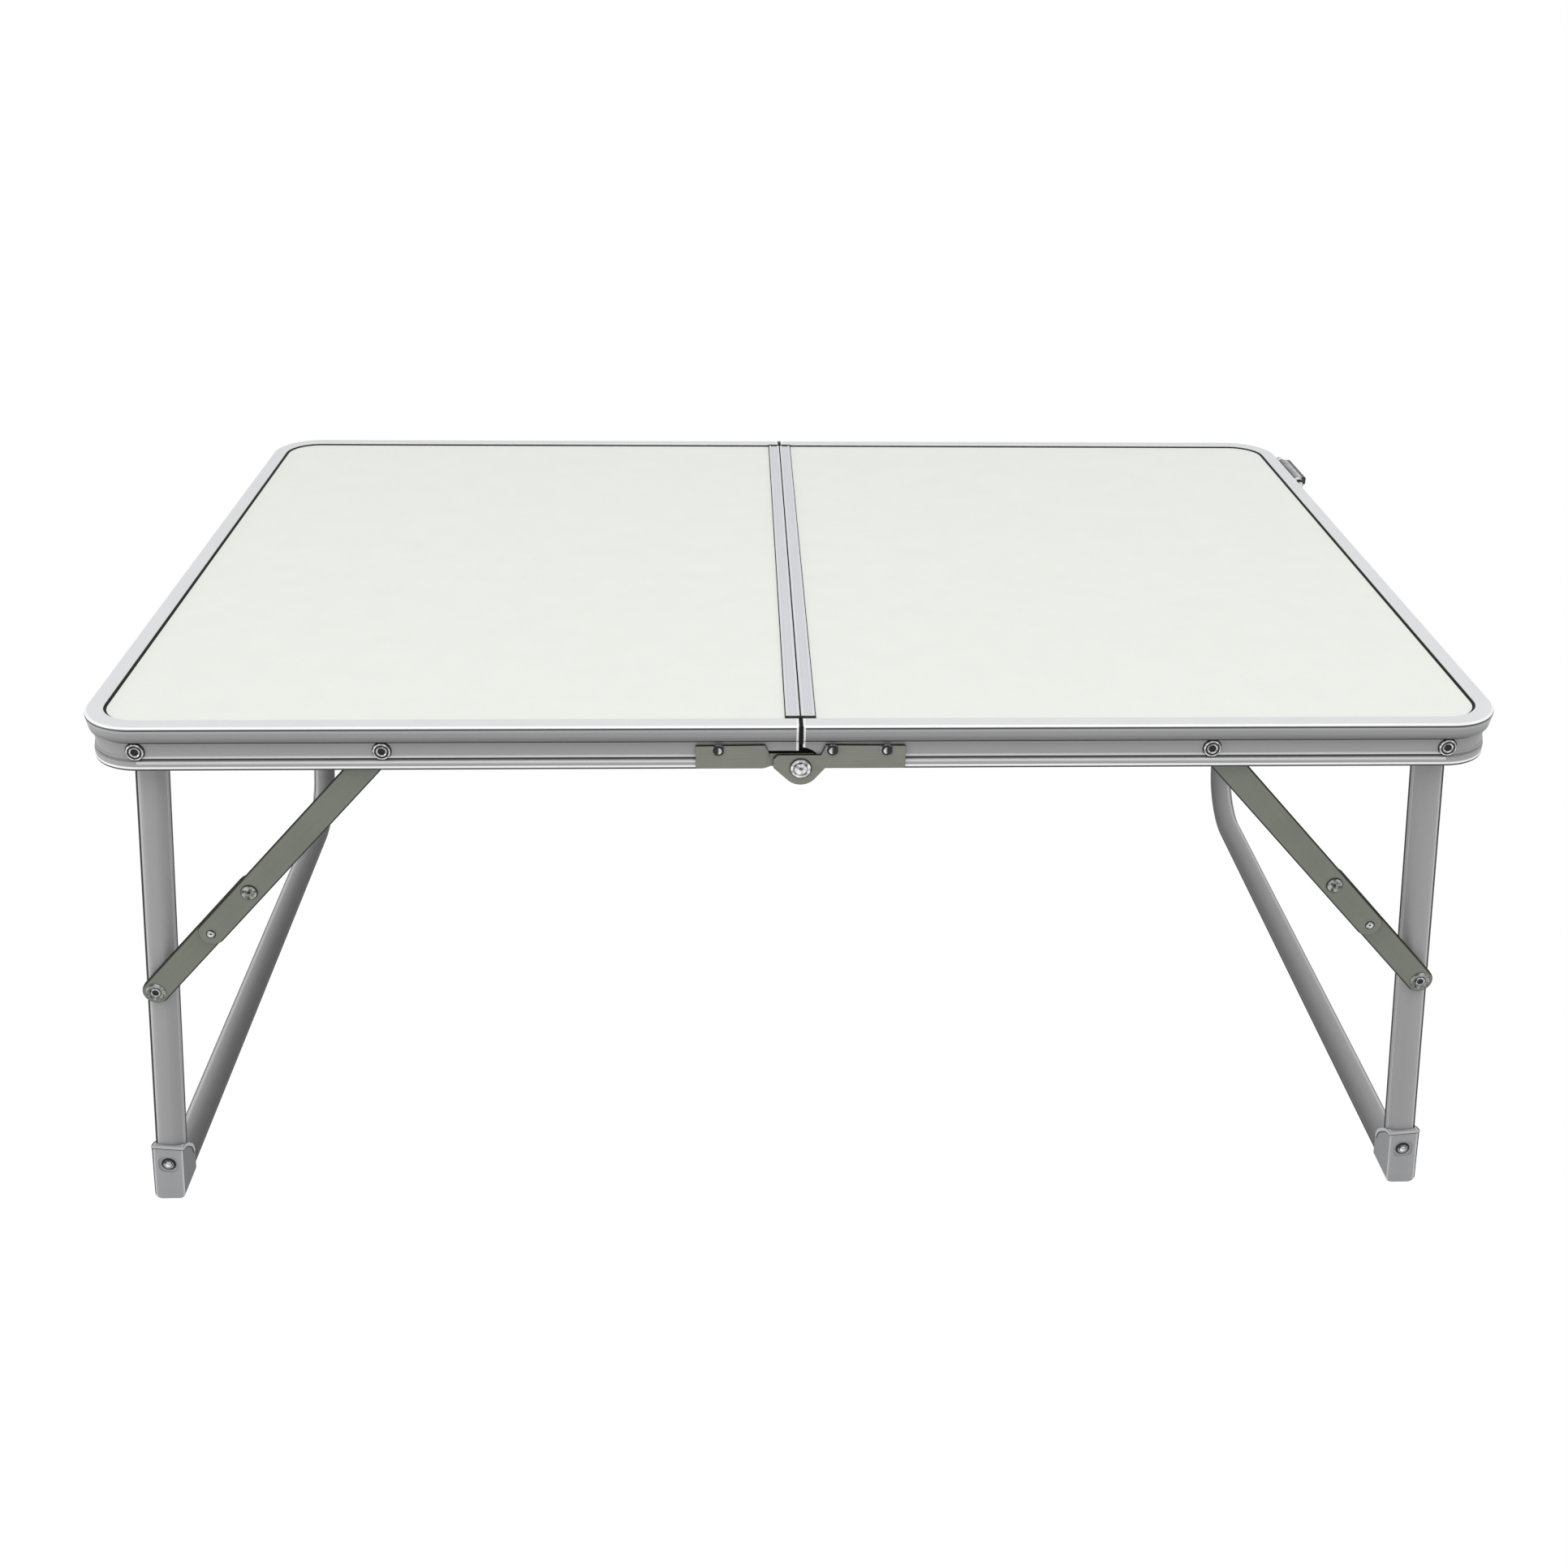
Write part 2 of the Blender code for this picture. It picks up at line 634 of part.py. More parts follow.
def plate_rivet():
    tail = (SKIRT_BACK + FIT, SKIRT_BACK + FIT + RIVET_TAIL, PLATE_RIVET_HEAD_RADIUS)
    base = EAR_FRONT - FIT
    return rivet(base - PLATE_RIVET_HEAD, base, PLATE_RIVET_HEAD_RADIUS, PLATE_RIVET_SHANK, [tail])


def add_hinges(frames):
    left = left_plate()
    right = right_plate()
    pin = hinge_pin()
    small = plate_rivet()
    for face_name, face in FACES.items():
        here = quadrant_matrix(1, face, 0, HINGE_Z)
        add_piece(f"right_hinge_plate_{face_name}", mirrored(right, 1, face), "steel", frames["right"], here)
        plate = add_piece(f"left_hinge_plate_{face_name}", mirrored(left, -1, face), "steel", frames["left"], here)
        outline = slab(left_plate_outline(), -REAR_EAR_BACK - OVERRUN, OVERRUN, "y")
        cut(plate, mirrored(outline, -1, face), here, "INTERSECT")
        add_piece(f"hinge_pin_{face_name}", mirrored(pin, 1, face), "rivet", frames["left"], here, True)
        for label, side, places in (("right", 1, RIGHT_RIVET_PLACES), ("left", -1, LEFT_RIVET_PLACES)):
            for number, x in enumerate(places):
                spot = quadrant_matrix(side, face, x, HINGE_Z + PLATE_RIVET_RISE)
                name = f"{label}_plate_rivet_{number + 1}_{face_name}"
                add_piece(name, mirrored(small, side, face), "rivet", frames[label], spot, True)


# Pivot rivets in the rim

def rim_rivet_head():
    return SKIRT_INSET - RIDGE_PROUD - FIT


def leg_pivot():
    base = rim_rivet_head()
    washer = (SKIRT_BACK + CORNER_CLEARANCE, LEG_FRONT - FIT, RIVET_WASHER)
    tail = (LEG_BACK + FIT, LEG_BACK + FIT + RIVET_TAIL, RIVET_TAIL_RADIUS)
    return rivet(base - RIVET_HEAD, base, RIVET_HEAD_RADIUS, RIVET_SHANK, [washer, tail])


def brace_pivot():
    base = rim_rivet_head()
    washer = (SKIRT_BACK + FIT, LINK_FRONT - FIT, RIVET_WASHER)
    tail = (LINK_BACK + FIT, CHANNEL_FRONT + FIT, RIVET_TAIL_RADIUS)
    return rivet(base - RIVET_HEAD, base, RIVET_HEAD_RADIUS, RIVET_SHANK, [washer, tail])


# Folding braces

def upper_link():
    """A flat strap from the rim pivot past the knuckle, with a pressed bump near its free end."""
    holes = [circle((0, 0), RIVET_SHANK + SLIP), circle((0, -UPPER_LINK), RIVET_SHANK + SLIP)]
    outline = strap(UPPER_LINK, LINK_WIDTH / 2, BUMP_BEYOND + TAIL_BEYOND - LINK_WIDTH / 2)
    return slab([outline, *holes], -LINK_BACK, -LINK_FRONT, "y")


def bump():
    """The low round bump, with a foot that lies inside the strap."""
    inner = LINK_FRONT + LINK_THICK / 2
    profile = dome(LINK_FRONT - BUMP_PROUD, LINK_FRONT, BUMP_RADIUS)
    profile += [(inner, BUMP_RADIUS), (inner, 0)]
    return moved(revolved(profile), 0, 0, -UPPER_LINK - BUMP_BEYOND)


def lower_link():
    """A shallow pressed channel from the leg pivot up to the knuckle, its flanges turned to the leg."""
    outline = [(x, -y) for x, y in strap(LOWER_LINK, LINK_WIDTH / 2)]
    hole = circle((0, 0), RIVET_SHANK + SLIP)
    return slab([outline, hole], -CHANNEL_BACK, -CHANNEL_FRONT, "y")


def channel_pocket():
    """The hollow of the channel, round a boss that closes the knuckle."""
    outline = [(x, -y) for x, y in strap(LOWER_LINK, LINK_WIDTH / 2 - CHANNEL_SHEET)]
    boss = circle((0, LOWER_LINK), BOSS_RADIUS)
    return slab([outline, boss], -CHANNEL_BACK - OVERRUN, -CHANNEL_FRONT - CHANNEL_SHEET, "y")


def knuckle_rivet():
    base = LINK_FRONT - FIT
    tail = (LINK_BACK + FIT, CHANNEL_FRONT - FIT, KNUCKLE_HEAD_RADIUS)
    return rivet(base - KNUCKLE_HEAD, base, KNUCKLE_HEAD_RADIUS, RIVET_SHANK, [tail])


def brace_foot_rivet():
    base = CHANNEL_FRONT - FIT
    tail = (LEG_BACK + FIT, LEG_BACK + FIT + RIVET_TAIL, RIVET_TAIL_RADIUS)
    return rivet(base - LOW_HEAD, base, LOW_HEAD_RADIUS, RIVET_SHANK, [tail])


def add_brace(side_name, face_name, meshes, frames):
    side = SIDES[side_name]
    face = FACES[face_name]
    tail = f"{side_name}_{face_name}"
    top = quadrant_matrix(side, face, BRACE_X, PIVOT_Z, BRACE_LEAN)
    foot = quadrant_matrix(side, face, LEG_X + BRACE_OUT, PIVOT_Z - BRACE_DOWN, BRACE_LEAN)
    half = frames[side_name]
    leg = frames[f"{side_name}_leg"]
    upper = add_piece(f"upper_link_{tail}", mirrored(meshes["upper"], side, face), "strap", half, top)
    cut(upper, mirrored(meshes["bump"], side, face), top, "UNION")
    lower = add_piece(f"lower_link_{tail}", mirrored(meshes["lower"], side, face), "strap", leg, foot)
    cut(lower, mirrored(meshes["pocket"], side, face), foot)
    knuckle = top @ Matrix.Translation((0, 0, -UPPER_LINK))
    add_piece(f"knuckle_rivet_{tail}", mirrored(meshes["knuckle"], side, face), "rivet", upper, knuckle, True)
    splay = quadrant_matrix(side, face, LEG_X, PIVOT_Z, SPLAY) @ Matrix.Translation((0, 0, -BRACE_ON_LEG))
    add_piece(f"brace_foot_rivet_{tail}", mirrored(meshes["foot"], side, face), "rivet", leg, splay, True)
    rim_spot = quadrant_matrix(side, face, BRACE_X, PIVOT_Z)
    pivot = mirrored(meshes["pivot"], side, face)
    add_piece(f"{side_name}_brace_pivot_{face_name}", pivot, "rivet", half, rim_spot, True)


def add_braces(frames):
    meshes = {
        "upper": upper_link(),
        "bump": bump(),
        "lower": lower_link(),
        "pocket": channel_pocket(),
        "knuckle": knuckle_rivet(),
        "foot": brace_foot_rivet(),
        "pivot": brace_pivot(),
    }
    for side_name in SIDES:
        for face_name in FACES:
            add_brace(side_name, face_name, meshes, frames)


# Leg frames

def leg_holes(face, with_screw):
    """The pivot and brace holes of one leg tube, and the screw hole near its foot where it has one."""
    through = pivot_hole(RIVET_SHANK + SLIP, LEG_FRONT - OVERRUN, LEG_BACK + OVERRUN)
    holes = [through, moved(through, 0, 0, -BRACE_ON_LEG)]
    if with_screw:
        screw = pivot_hole(SCREW_RADIUS + SLIP, LEG_FRONT - OVERRUN, LEG_DEPTH)
        holes.append(moved(screw, 0, 0, screw_z()))
    return joined([moved(mirrored(hole, 1, face), 0, face * BEAD_FACE, 0) for hole in holes])


def screw_z():
    return -FLOOR_DROP + SCREW_HEIGHT


def front_leg():
    """The straight tube of the front leg, open at both ends."""
    half = TUBE / 2
    loops = [rounded_square(half, TUBE_CORNER), rounded_square(half - TUBE_WALL, TUBE_CORNER - TUBE_WALL)]
    tube = slab(loops, -FLOOR_DROP + SOCKET_FLOOR + FIT, LEG_TOP, "z")
    return moved(tube, 0, -BEAD_FACE + LEG_DEPTH, 0)


def bar_path(overrun):
    """The floor bar from the foot's socket to the rear, turned up into the rear leg, as (y, z) points."""
    rear = BEAD_FACE - LEG_DEPTH
    start = -BEAD_FACE + LEG_FRONT - FOOT_FRONT_WALL + FOOT_REACH + FIT - BAR_SOCKET
    path = [(start - overrun, -BAR_DROP)]
    path += arc((rear - BEND_RADIUS, -BAR_DROP + BEND_RADIUS), BEND_RADIUS, -math.pi / 2, 0, CORNER_STEPS)
    path.append((rear, LEG_TOP + overrun))
    return path


def bent_leg():
    return swept(bar_path(0), rounded_square(TUBE / 2, TUBE_CORNER), "x")


def bent_bore():
    half = TUBE / 2 - TUBE_WALL
    return swept(bar_path(OVERRUN), rounded_square(half, TUBE_CORNER - TUBE_WALL), "x")


def foot_front_outline():
    """The foot from the front, as (x, z) about the leg's top pivot, with its sole level on the floor."""
    top = -FLOOR_DROP + FOOT_HEIGHT
    collar = top - FOOT_COLLAR
    slope = -math.tan(SPLAY)
    wide = FOOT_WIDTH / 2
    toe = FOOT_TOE_WIDTH / 2
    body = wide - FOOT_COLLAR_STEP
    outline = [(wide - FOOT_COLLAR_STEP, top, 0), (-wide + FOOT_COLLAR_STEP, top, 0)]
    outline += [(-wide, top - FOOT_COLLAR_STEP, 0), (-wide, collar + FOOT_COLLAR_STEP, 0), (-body, collar, 0)]
    outline += [(-toe, -FLOOR_DROP - slope * toe, FOOT_TOE_ROUND), (toe, -FLOOR_DROP + slope * toe, FOOT_TOE_ROUND)]
    outline += [(body, collar, 0), (wide, collar + FOOT_COLLAR_STEP, 0), (wide, top - FOOT_COLLAR_STEP, 0)]
    return rounded(outline)


def foot_side_outline():
    """The foot from the side, as (y, z): a collar on the leg and a socket for the floor bar behind it."""
    front = -BEAD_FACE + LEG_FRONT - FOOT_FRONT_WALL
    collar_back = -BEAD_FACE + LEG_BACK + FOOT_BACK_WALL
    back = front + FOOT_REACH + FOOT_SHOULDER
    top = -FLOOR_DROP + FOOT_HEIGHT
    arch = -BAR_DROP + TUBE / 2 + FOOT_BACK_WALL
    low = -FLOOR_DROP - OVERRUN
    outline = [(front, low, 0), (back, low, 0), (back, arch, FOOT_FRONT_ROUND), (collar_back, arch, 0)]
    outline += [(collar_back, top, 0), (front, top, 0)]
    return rounded(outline)


def foot_sockets():
    """The sockets for the leg tube, the floor bar and the screw, with the sunk seat of its head."""
    bore = rounded_square(TUBE / 2 + FIT, TUBE_CORNER)
    leg = slab([bore], -FLOOR_DROP + SOCKET_FLOOR, OVERRUN - FLOOR_DROP + FOOT_HEIGHT, "z")
    leg = moved(leg, 0, -BEAD_FACE + LEG_DEPTH, 0)
    start = bar_path(FIT)[0][0]
    back = start + BAR_SOCKET + FOOT_SHOULDER + OVERRUN
    bar = moved(slab([bore], start, back, "y"), 0, 0, -BAR_DROP)
    face = LEG_FRONT - FOOT_FRONT_WALL
    hole = pivot_hole(SCREW_RADIUS + SLIP, face - OVERRUN, LEG_DEPTH)
    seat = pivot_hole(SCREW_HEAD_RADIUS + SLIP, face - OVERRUN, face + SCREW_SINK)
    hole, seat = [moved(mirrored(solid, 1, -1), 0, -BEAD_FACE, screw_z()) for solid in (hole, seat)]
    return leg, bar, hole, seat


def foot_screw():
    seat = LEG_FRONT - FOOT_FRONT_WALL + SCREW_SINK - SMALL_FIT
    profile = dome(seat - SCREW_HEAD, seat, SCREW_HEAD_RADIUS)
    profile += [(seat, SCREW_RADIUS), (seat + SCREW_LENGTH, SCREW_RADIUS), (seat + SCREW_LENGTH, 0)]
    return revolved(profile)


def add_leg_frame(side_name, frames):
    side = SIDES[side_name]
    frame = frames[f"{side_name}_leg"]
    here = Matrix.Translation((side * LEG_X, 0, PIVOT_Z)) @ Matrix.Rotation(-side * SPLAY, 4, "Y")
    front = add_piece(f"{side_name}_front_leg", mirrored(front_leg(), side, 1), "tube", frame, here, True)
    cut(front, mirrored(leg_holes(-1, True), side, 1), here)
    rear = add_piece(f"{side_name}_bar_and_rear_leg", mirrored(bent_leg(), side, 1), "tube", frame, here, True)
    cut(rear, mirrored(bent_bore(), side, 1), here)
    cut(rear, mirrored(leg_holes(1, False), side, 1), here)
    front = -BEAD_FACE + LEG_FRONT - FOOT_FRONT_WALL
    body = slab([foot_front_outline()], front, front + FOOT_REACH + FOOT_SHOULDER, "y")
    foot = add_piece(f"{side_name}_foot", mirrored(body, side, 1), "foot_plastic", frame, here)
    shape = slab([foot_side_outline()], -FOOT_WIDTH, FOOT_WIDTH, "x")
    cut(foot, mirrored(shape, side, 1), here, "INTERSECT")
    for solid in foot_sockets():
        cut(foot, mirrored(solid, side, 1), here)
    spot = here @ Matrix.Translation((0, -BEAD_FACE, screw_z()))
    add_piece(f"{side_name}_foot_screw", mirrored(foot_screw(), side, -1), "rivet", frame, spot, True)


def add_leg_frames(frames):
    pivot = leg_pivot()
    for side_name, side in SIDES.items():
        add_leg_frame(side_name, frames)
        for face_name, face in FACES.items():
            spot = quadrant_matrix(side, face, LEG_X, PIVOT_Z)
            name = f"{side_name}_leg_pivot_{face_name}"
            add_piece(name, mirrored(pivot, side, face), "rivet", frames[side_name], spot, True)


# Case latch

def latch_pin_place():
    return (LATCH_FACE + LATCH_PIN_OUT, LATCH_PLACE, TOP_HEIGHT - LATCH_PIN_DROP)


def latch_base_loops():
    """The bracket's end view about the pin: an eye, an arm under the bead and a plate on the skirt."""
    skirt = -LATCH_PIN_OUT - SKIRT_INSET + FIT
    arm_top = LATCH_PIN_DROP - LATCH_BASE_DROP
    arm_bottom = arm_top - LATCH_SHEET
    plate_bottom = arm_top - LATCH_BASE_HEIGHT
    radius = LATCH_EYE_RADIUS
    start = -math.pi / 2
    end = math.pi - math.asin(arm_top / radius)
    outline = [(skirt, plate_bottom), (skirt + LATCH_SHEET, plate_bottom), (skirt + LATCH_SHEET, arm_bottom)]
    outline += [(0, arm_bottom)] + arc((0, 0), radius, start, end, END_STEPS * 2)
    outline += [(skirt, arm_top)]
    return outline


def latch_bracket():
    """The two eye ends and the plate between them, one bent sheet."""
    half = LATCH_LENGTH / 2
    eye = circle((0, 0), LATCH_PIN_RADIUS + SLIP, ROUND_STEPS)
    return slab([latch_base_loops(), eye], -half, half, "y")


def latch_gap():
    """The space between the two eyes, where the lever turns."""
    half = LATCH_LENGTH / 2 - LATCH_EYE
    skirt = -LATCH_PIN_OUT - SKIRT_INSET + FIT + LATCH_SHEET
    outline = [(skirt, -LATCH_BASE_HEIGHT - OVERRUN), (OVERRUN, -LATCH_BASE_HEIGHT - OVERRUN)]
    outline += [(OVERRUN, OVERRUN), (skirt, OVERRUN)]
    return slab([outline], -half, half, "y")


def latch_lever():
    """A hook plate rolled round the pin: out from the pin and turned down at its free edge."""
    half = LATCH_LENGTH / 2 - LATCH_EYE - FIT
    roll = LATCH_ROLL_RADIUS
    under = roll - LATCH_SHEET
    outline = arc((0, 0), roll, math.pi / 2, math.tau - math.asin(under / roll / 2), END_STEPS * 2)
    outline += [(roll, under), (LATCH_REACH - LATCH_SHEET, under), (LATCH_REACH - LATCH_SHEET, roll - LATCH_HOOK)]
    outline += [(LATCH_REACH, roll - LATCH_HOOK)]
    outline += rounded([(LATCH_REACH, 0, 0), (LATCH_REACH, roll, LATCH_SHEET), (0, roll, 0)])[1:-1]
    eye = circle((0, 0), LATCH_PIN_RADIUS + SLIP, ROUND_STEPS)
    return slab([outline, eye], -half, half, "y")


def latch_pin():
    half = LATCH_LENGTH / 2
    profile = [(-half - LATCH_PIN_HEAD - FIT, 0), (-half - LATCH_PIN_HEAD - FIT, LATCH_PIN_HEAD_RADIUS)]
    profile += [(-half - FIT, LATCH_PIN_HEAD_RADIUS), (-half - FIT, LATCH_PIN_RADIUS), (half, LATCH_PIN_RADIUS)]
    return mirrored(revolved([*profile, (half, 0)], ROUND_STEPS), 1, -1)


def latch_catch():
    """The catch on the left end: a plate on the skirt with its upper edge turned out."""
    plate = -SKIRT_INSET + FIT
    top = -LATCH_BASE_DROP
    bottom = top - CATCH_HEIGHT
    face = plate + LATCH_SHEET
    lip = face + CATCH_LIP
    outline = [(plate, bottom), (face, bottom), (face, top - LATCH_SHEET)]
    outline += [(lip, top - LATCH_SHEET), (lip, top), (plate, top)]
    return slab([outline], -CATCH_LENGTH / 2, CATCH_LENGTH / 2, "y")


def add_latch(frames):
    here = Matrix.Translation(latch_pin_place())
    base = add_piece("latch_base", latch_bracket(), "chrome", frames["right"], here)
    cut(base, latch_gap(), here)
    add_piece("latch_lever", latch_lever(), "chrome", frames["right"], here)
    add_piece("latch_pin", latch_pin(), "rivet", frames["right"], here, True)
    spot = Matrix.Translation((-LATCH_FACE, LATCH_PLACE, TOP_HEIGHT))
    add_piece("latch_catch", mirrored(latch_catch(), -1, 1), "chrome", frames["left"], spot)


# The whole table

def add_materials():
    make_material("aluminium", (0.55, 0.56, 0.58), 0.35, 0.9)
    make_material("rail", (0.62, 0.62, 0.66), 0.4, 0.8)
    make_material("laminate", (0.80, 0.81, 0.77), 0.45, 0.0)
    make_material("steel", (0.30, 0.30, 0.28), 0.4, 0.9)
    make_material("strap", (0.25, 0.26, 0.24), 0.4, 0.9)
    make_material("tube", (0.38, 0.38, 0.38), 0.4, 0.6)
    make_material("foot_plastic", (0.35, 0.36, 0.38), 0.5, 0.0)
    make_material("rivet", (0.60, 0.60, 0.60), 0.25, 1.0)
    make_material("chrome", (0.65, 0.65, 0.66), 0.12, 1.0)


def add_frames():
    """The carriers of the moving bodies: the left half stays, and the right half turns on the hinge pins."""
    hinge = Matrix.Translation((0, 0, HINGE_Z))
    left = add_frame("left_half", hinge)
    right = add_frame("right_half", hinge, left)
    frames = {"left": left, "right": right}
    for side_name, side in SIDES.items():
        here = Matrix.Translation((side * LEG_X, 0, PIVOT_Z)) @ Matrix.Rotation(-side * SPLAY, 4, "Y")
        frames[f"{side_name}_leg"] = add_frame(f"{side_name}_leg_frame", here, frames[side_name])
    return frames


def build():
    clear_scene()
    add_collection(MAIN)
    add_collection(CUTTERS)
    add_materials()
    frames = add_frames()
    for side_name, side in SIDES.items():
        add_rim(side_name, side, frames[side_name])
        add_center_rail(side_name, side, frames[side_name])
        add_panel(side_name, side, frames[side_name])
    add_hinges(frames)
    add_leg_frames(frames)
    add_braces(frames)
    add_latch(frames)


build()
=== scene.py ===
"""Dresses the folding camping table: bent aluminium rims round laminate panels, centre hinges, leg frames with
moulded feet, folding knuckle braces and the case latch. Lengths are metres, tables of points are millimetres, and
the front side faces -Y."""

from math import acos, asin, atan2, cos, hypot, pi, radians, sin, sqrt, tan, tau

import bmesh
import bpy
from mathutils import Matrix, Vector


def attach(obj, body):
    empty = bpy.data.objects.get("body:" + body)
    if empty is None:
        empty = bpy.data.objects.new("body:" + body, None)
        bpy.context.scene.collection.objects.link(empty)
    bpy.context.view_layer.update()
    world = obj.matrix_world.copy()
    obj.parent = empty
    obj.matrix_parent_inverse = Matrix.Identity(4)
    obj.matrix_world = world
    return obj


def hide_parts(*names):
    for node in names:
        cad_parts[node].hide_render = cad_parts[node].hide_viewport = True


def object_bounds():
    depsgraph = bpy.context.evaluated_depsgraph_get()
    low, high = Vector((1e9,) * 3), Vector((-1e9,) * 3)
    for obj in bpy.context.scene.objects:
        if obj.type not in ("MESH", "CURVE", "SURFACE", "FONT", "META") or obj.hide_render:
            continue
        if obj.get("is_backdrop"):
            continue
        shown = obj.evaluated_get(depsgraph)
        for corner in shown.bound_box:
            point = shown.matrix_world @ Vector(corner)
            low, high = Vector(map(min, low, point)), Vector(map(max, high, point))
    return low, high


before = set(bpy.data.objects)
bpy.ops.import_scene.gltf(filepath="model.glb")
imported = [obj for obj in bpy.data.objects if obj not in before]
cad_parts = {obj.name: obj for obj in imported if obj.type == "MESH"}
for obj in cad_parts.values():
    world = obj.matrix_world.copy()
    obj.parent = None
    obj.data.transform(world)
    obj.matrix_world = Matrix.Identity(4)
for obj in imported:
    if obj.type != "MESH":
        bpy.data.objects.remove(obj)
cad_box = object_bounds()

# Rim of each half: one aluminium extrusion bent round two corners. Its lip covers the edge of the panel, a round
# bead runs outside, and a satin wall with a ridge and a lower bead hangs below. Bands of painted light run along
# it by height: a painted highlight on the bead with dark painted lines under it, the wall painted darker as its
# shade and dark reflection, painted highlights and a painted shade line at the ridge and lower bead, and a dark
# painted outline along the bottom edge. Both ends stop at the seam and are notched for the hinge ears.

MM = 0.001
SIDES = {"left": -1, "right": 1}
FACES = {"front": -1, "rear": 1}
TOP_LENGTH = 600 * MM
TOP_WIDTH = 400 * MM
TOP_HEIGHT = 255 * MM
BEAD_FACE = TOP_WIDTH / 2
CORNER_RADIUS = 25 * MM
CORNER_STEPS = 20
SEAM = 0.9 * MM
HINGE_DROP = 20 * MM
SKIRT_BACK = 5.4 * MM
CUT_EDGE = 1.0 * MM
CUTTER_RUN = 5 * MM
NOTCH_RADIUS = 9 * MM
NOTCH_PAST_SKIRT = 2.5 * MM
EAR_NOTCH = ((-5 * MM, -8 * MM, -5 * MM), (15.6 * MM, 5 * MM, 7.4 * MM))
RIM_CORNERS = (
    (-8, 0, 0.25), (0, 0, 1.7), (-1.3, -7.6, 0.9), (-3.3, -7.7, 0.1), (-3.3, -8.3, 0.1), (-2.9, -8.5, 0.1),
    (-2.9, -14.3, 0.1), (-2.5, -14.5, 0.1), (-2.5, -15.1, 0.1), (-3.3, -15.4, 0.1), (-3.3, -16.1, 0.1),
    (-2, -16.6, 0.3), (-2, -20.5, 0.2), (-5.4, -20.5, 0.2), (-5.4, -4.9, 0), (-8.4, -4.9, 0),
    (-8.4, -3.7, 0), (-2, -3.7, 0), (-2, -0.8, 0), (-8, -0.8, 0.25),
)
RIM_INSIDE = -5.2
LIP_UNDERSIDE = -0.5
# Painted light by depth under the rim's top, in mm: the lip, a painted highlight on the bead, dark painted lines
# under it, and the wall painted darker as its shade and dark reflection.
BEAD_PAINTED_LIGHT = (
    (0, (0.76, 0.775, 0.79)), (0.1, (0.765, 0.78, 0.795)), (0.18, (0.95, 0.955, 0.96)),
    (0.8, (0.95, 0.955, 0.96)), (1, 0.09), (1.55, 0.08), (1.9, 0.48), (2.5, 0.42),
    (3.2, (0.345, 0.345, 0.35)), (4.6, (0.33, 0.33, 0.335)), (5.8, 0.25), (7.2, 0.175), (7.7, 0.06),
    (8.3, 0.06), (8.6, 0.4), (9.2, 0.31),
)
# Painted highlights and a painted shade line at the ridge and the lower bead.
RIDGE_PAINTED_LIGHT = (
    (13.6, 0.365), (14.1, 0.37), (14.35, (0.7, 0.7, 0.705)), (15, (0.66, 0.66, 0.665)), (15.35, 0.08),
    (16.1, 0.08), (16.6, (0.74, 0.74, 0.75)), (17.2, (0.66, 0.66, 0.67)), (17.9, 0.36),
)
# A painted highlight and a dark painted outline along the rim's bottom edge.
BOTTOM_EDGE_PAINTED_LIGHT = ((18.6, 0.38), (18.9, 1), (19.6, 1), (19.8, 0.05), (20.5, 0.04))
SHARP_ANGLE = radians(42)
SHINIEST = 0.03


def arc(centre, radius, start, end, steps):
    turn = (end - start) / steps
    return [
        (centre[0] + radius * cos(start + turn * i), centre[1] + radius * sin(start + turn * i))
        for i in range(steps + 1)
    ]


def rounded(corners, steps=5, unit=1.0):
    """The outline through corners given as (x, y, radius), each turned by an arc of its radius."""
    points = []
    for i, (x, y, radius) in enumerate(corners):
        here = Vector((x, y))
        if not radius:
            points.append((x * unit, y * unit))
            continue
        before = (Vector(corners[i - 1][:2]) - here).normalized()
        after = (Vector(corners[(i + 1) % len(corners)][:2]) - here).normalized()
        half = before.angle(after) / 2
        centre = here + (before + after).normalized() * radius / sin(half)
        first = here + before * radius / tan(half) - centre
        last = here + after * radius / tan(half) - centre
        start = atan2(first.y, first.x)
        turn = (atan2(last.y, last.x) - start + pi) % tau - pi
        points += [(px * unit, py * unit) for px, py in arc(centre, radius, start, start + turn, steps)]
    return points


def rim_stations(seam):
    """Corner centres and outward directions round the right half, from the front of the seam to its rear."""
    x = TOP_LENGTH / 2 - CORNER_RADIUS
    y = TOP_WIDTH / 2 - CORNER_RADIUS
    quarter = pi / 2
    stations = [((seam, -y), -quarter), ((seam + CUT_EDGE, -y), -quarter)]
    stations += [((x, -y), quarter * (i / CORNER_STEPS - 1)) for i in range(CORNER_STEPS + 1)]
    stations += [((x, y), quarter * i / CORNER_STEPS) for i in range(CORNER_STEPS + 1)]
    return stations + [((seam + CUT_EDGE, y), quarter), ((seam, y), quarter)]


def outline_at(out, seam):
    """The outline of the right half, moved out from the bead face."""
    reach = CORNER_RADIUS + out
    return [(x + reach * cos(angle), y + reach * sin(angle)) for (x, y), angle in rim_stations(seam)]


def skin(shape, rings, number_of):
    """Faces between rings of points, with the finish number given for their ring and their place on it."""
    count = len(rings[0])
    for i, (before, after) in enumerate(zip(rings, rings[1:])):
        for j in range(count):
            k = (j + 1) % count
            shape.faces.new((before[j], before[k], after[k], after[j])).material_index = number_of(i, j)


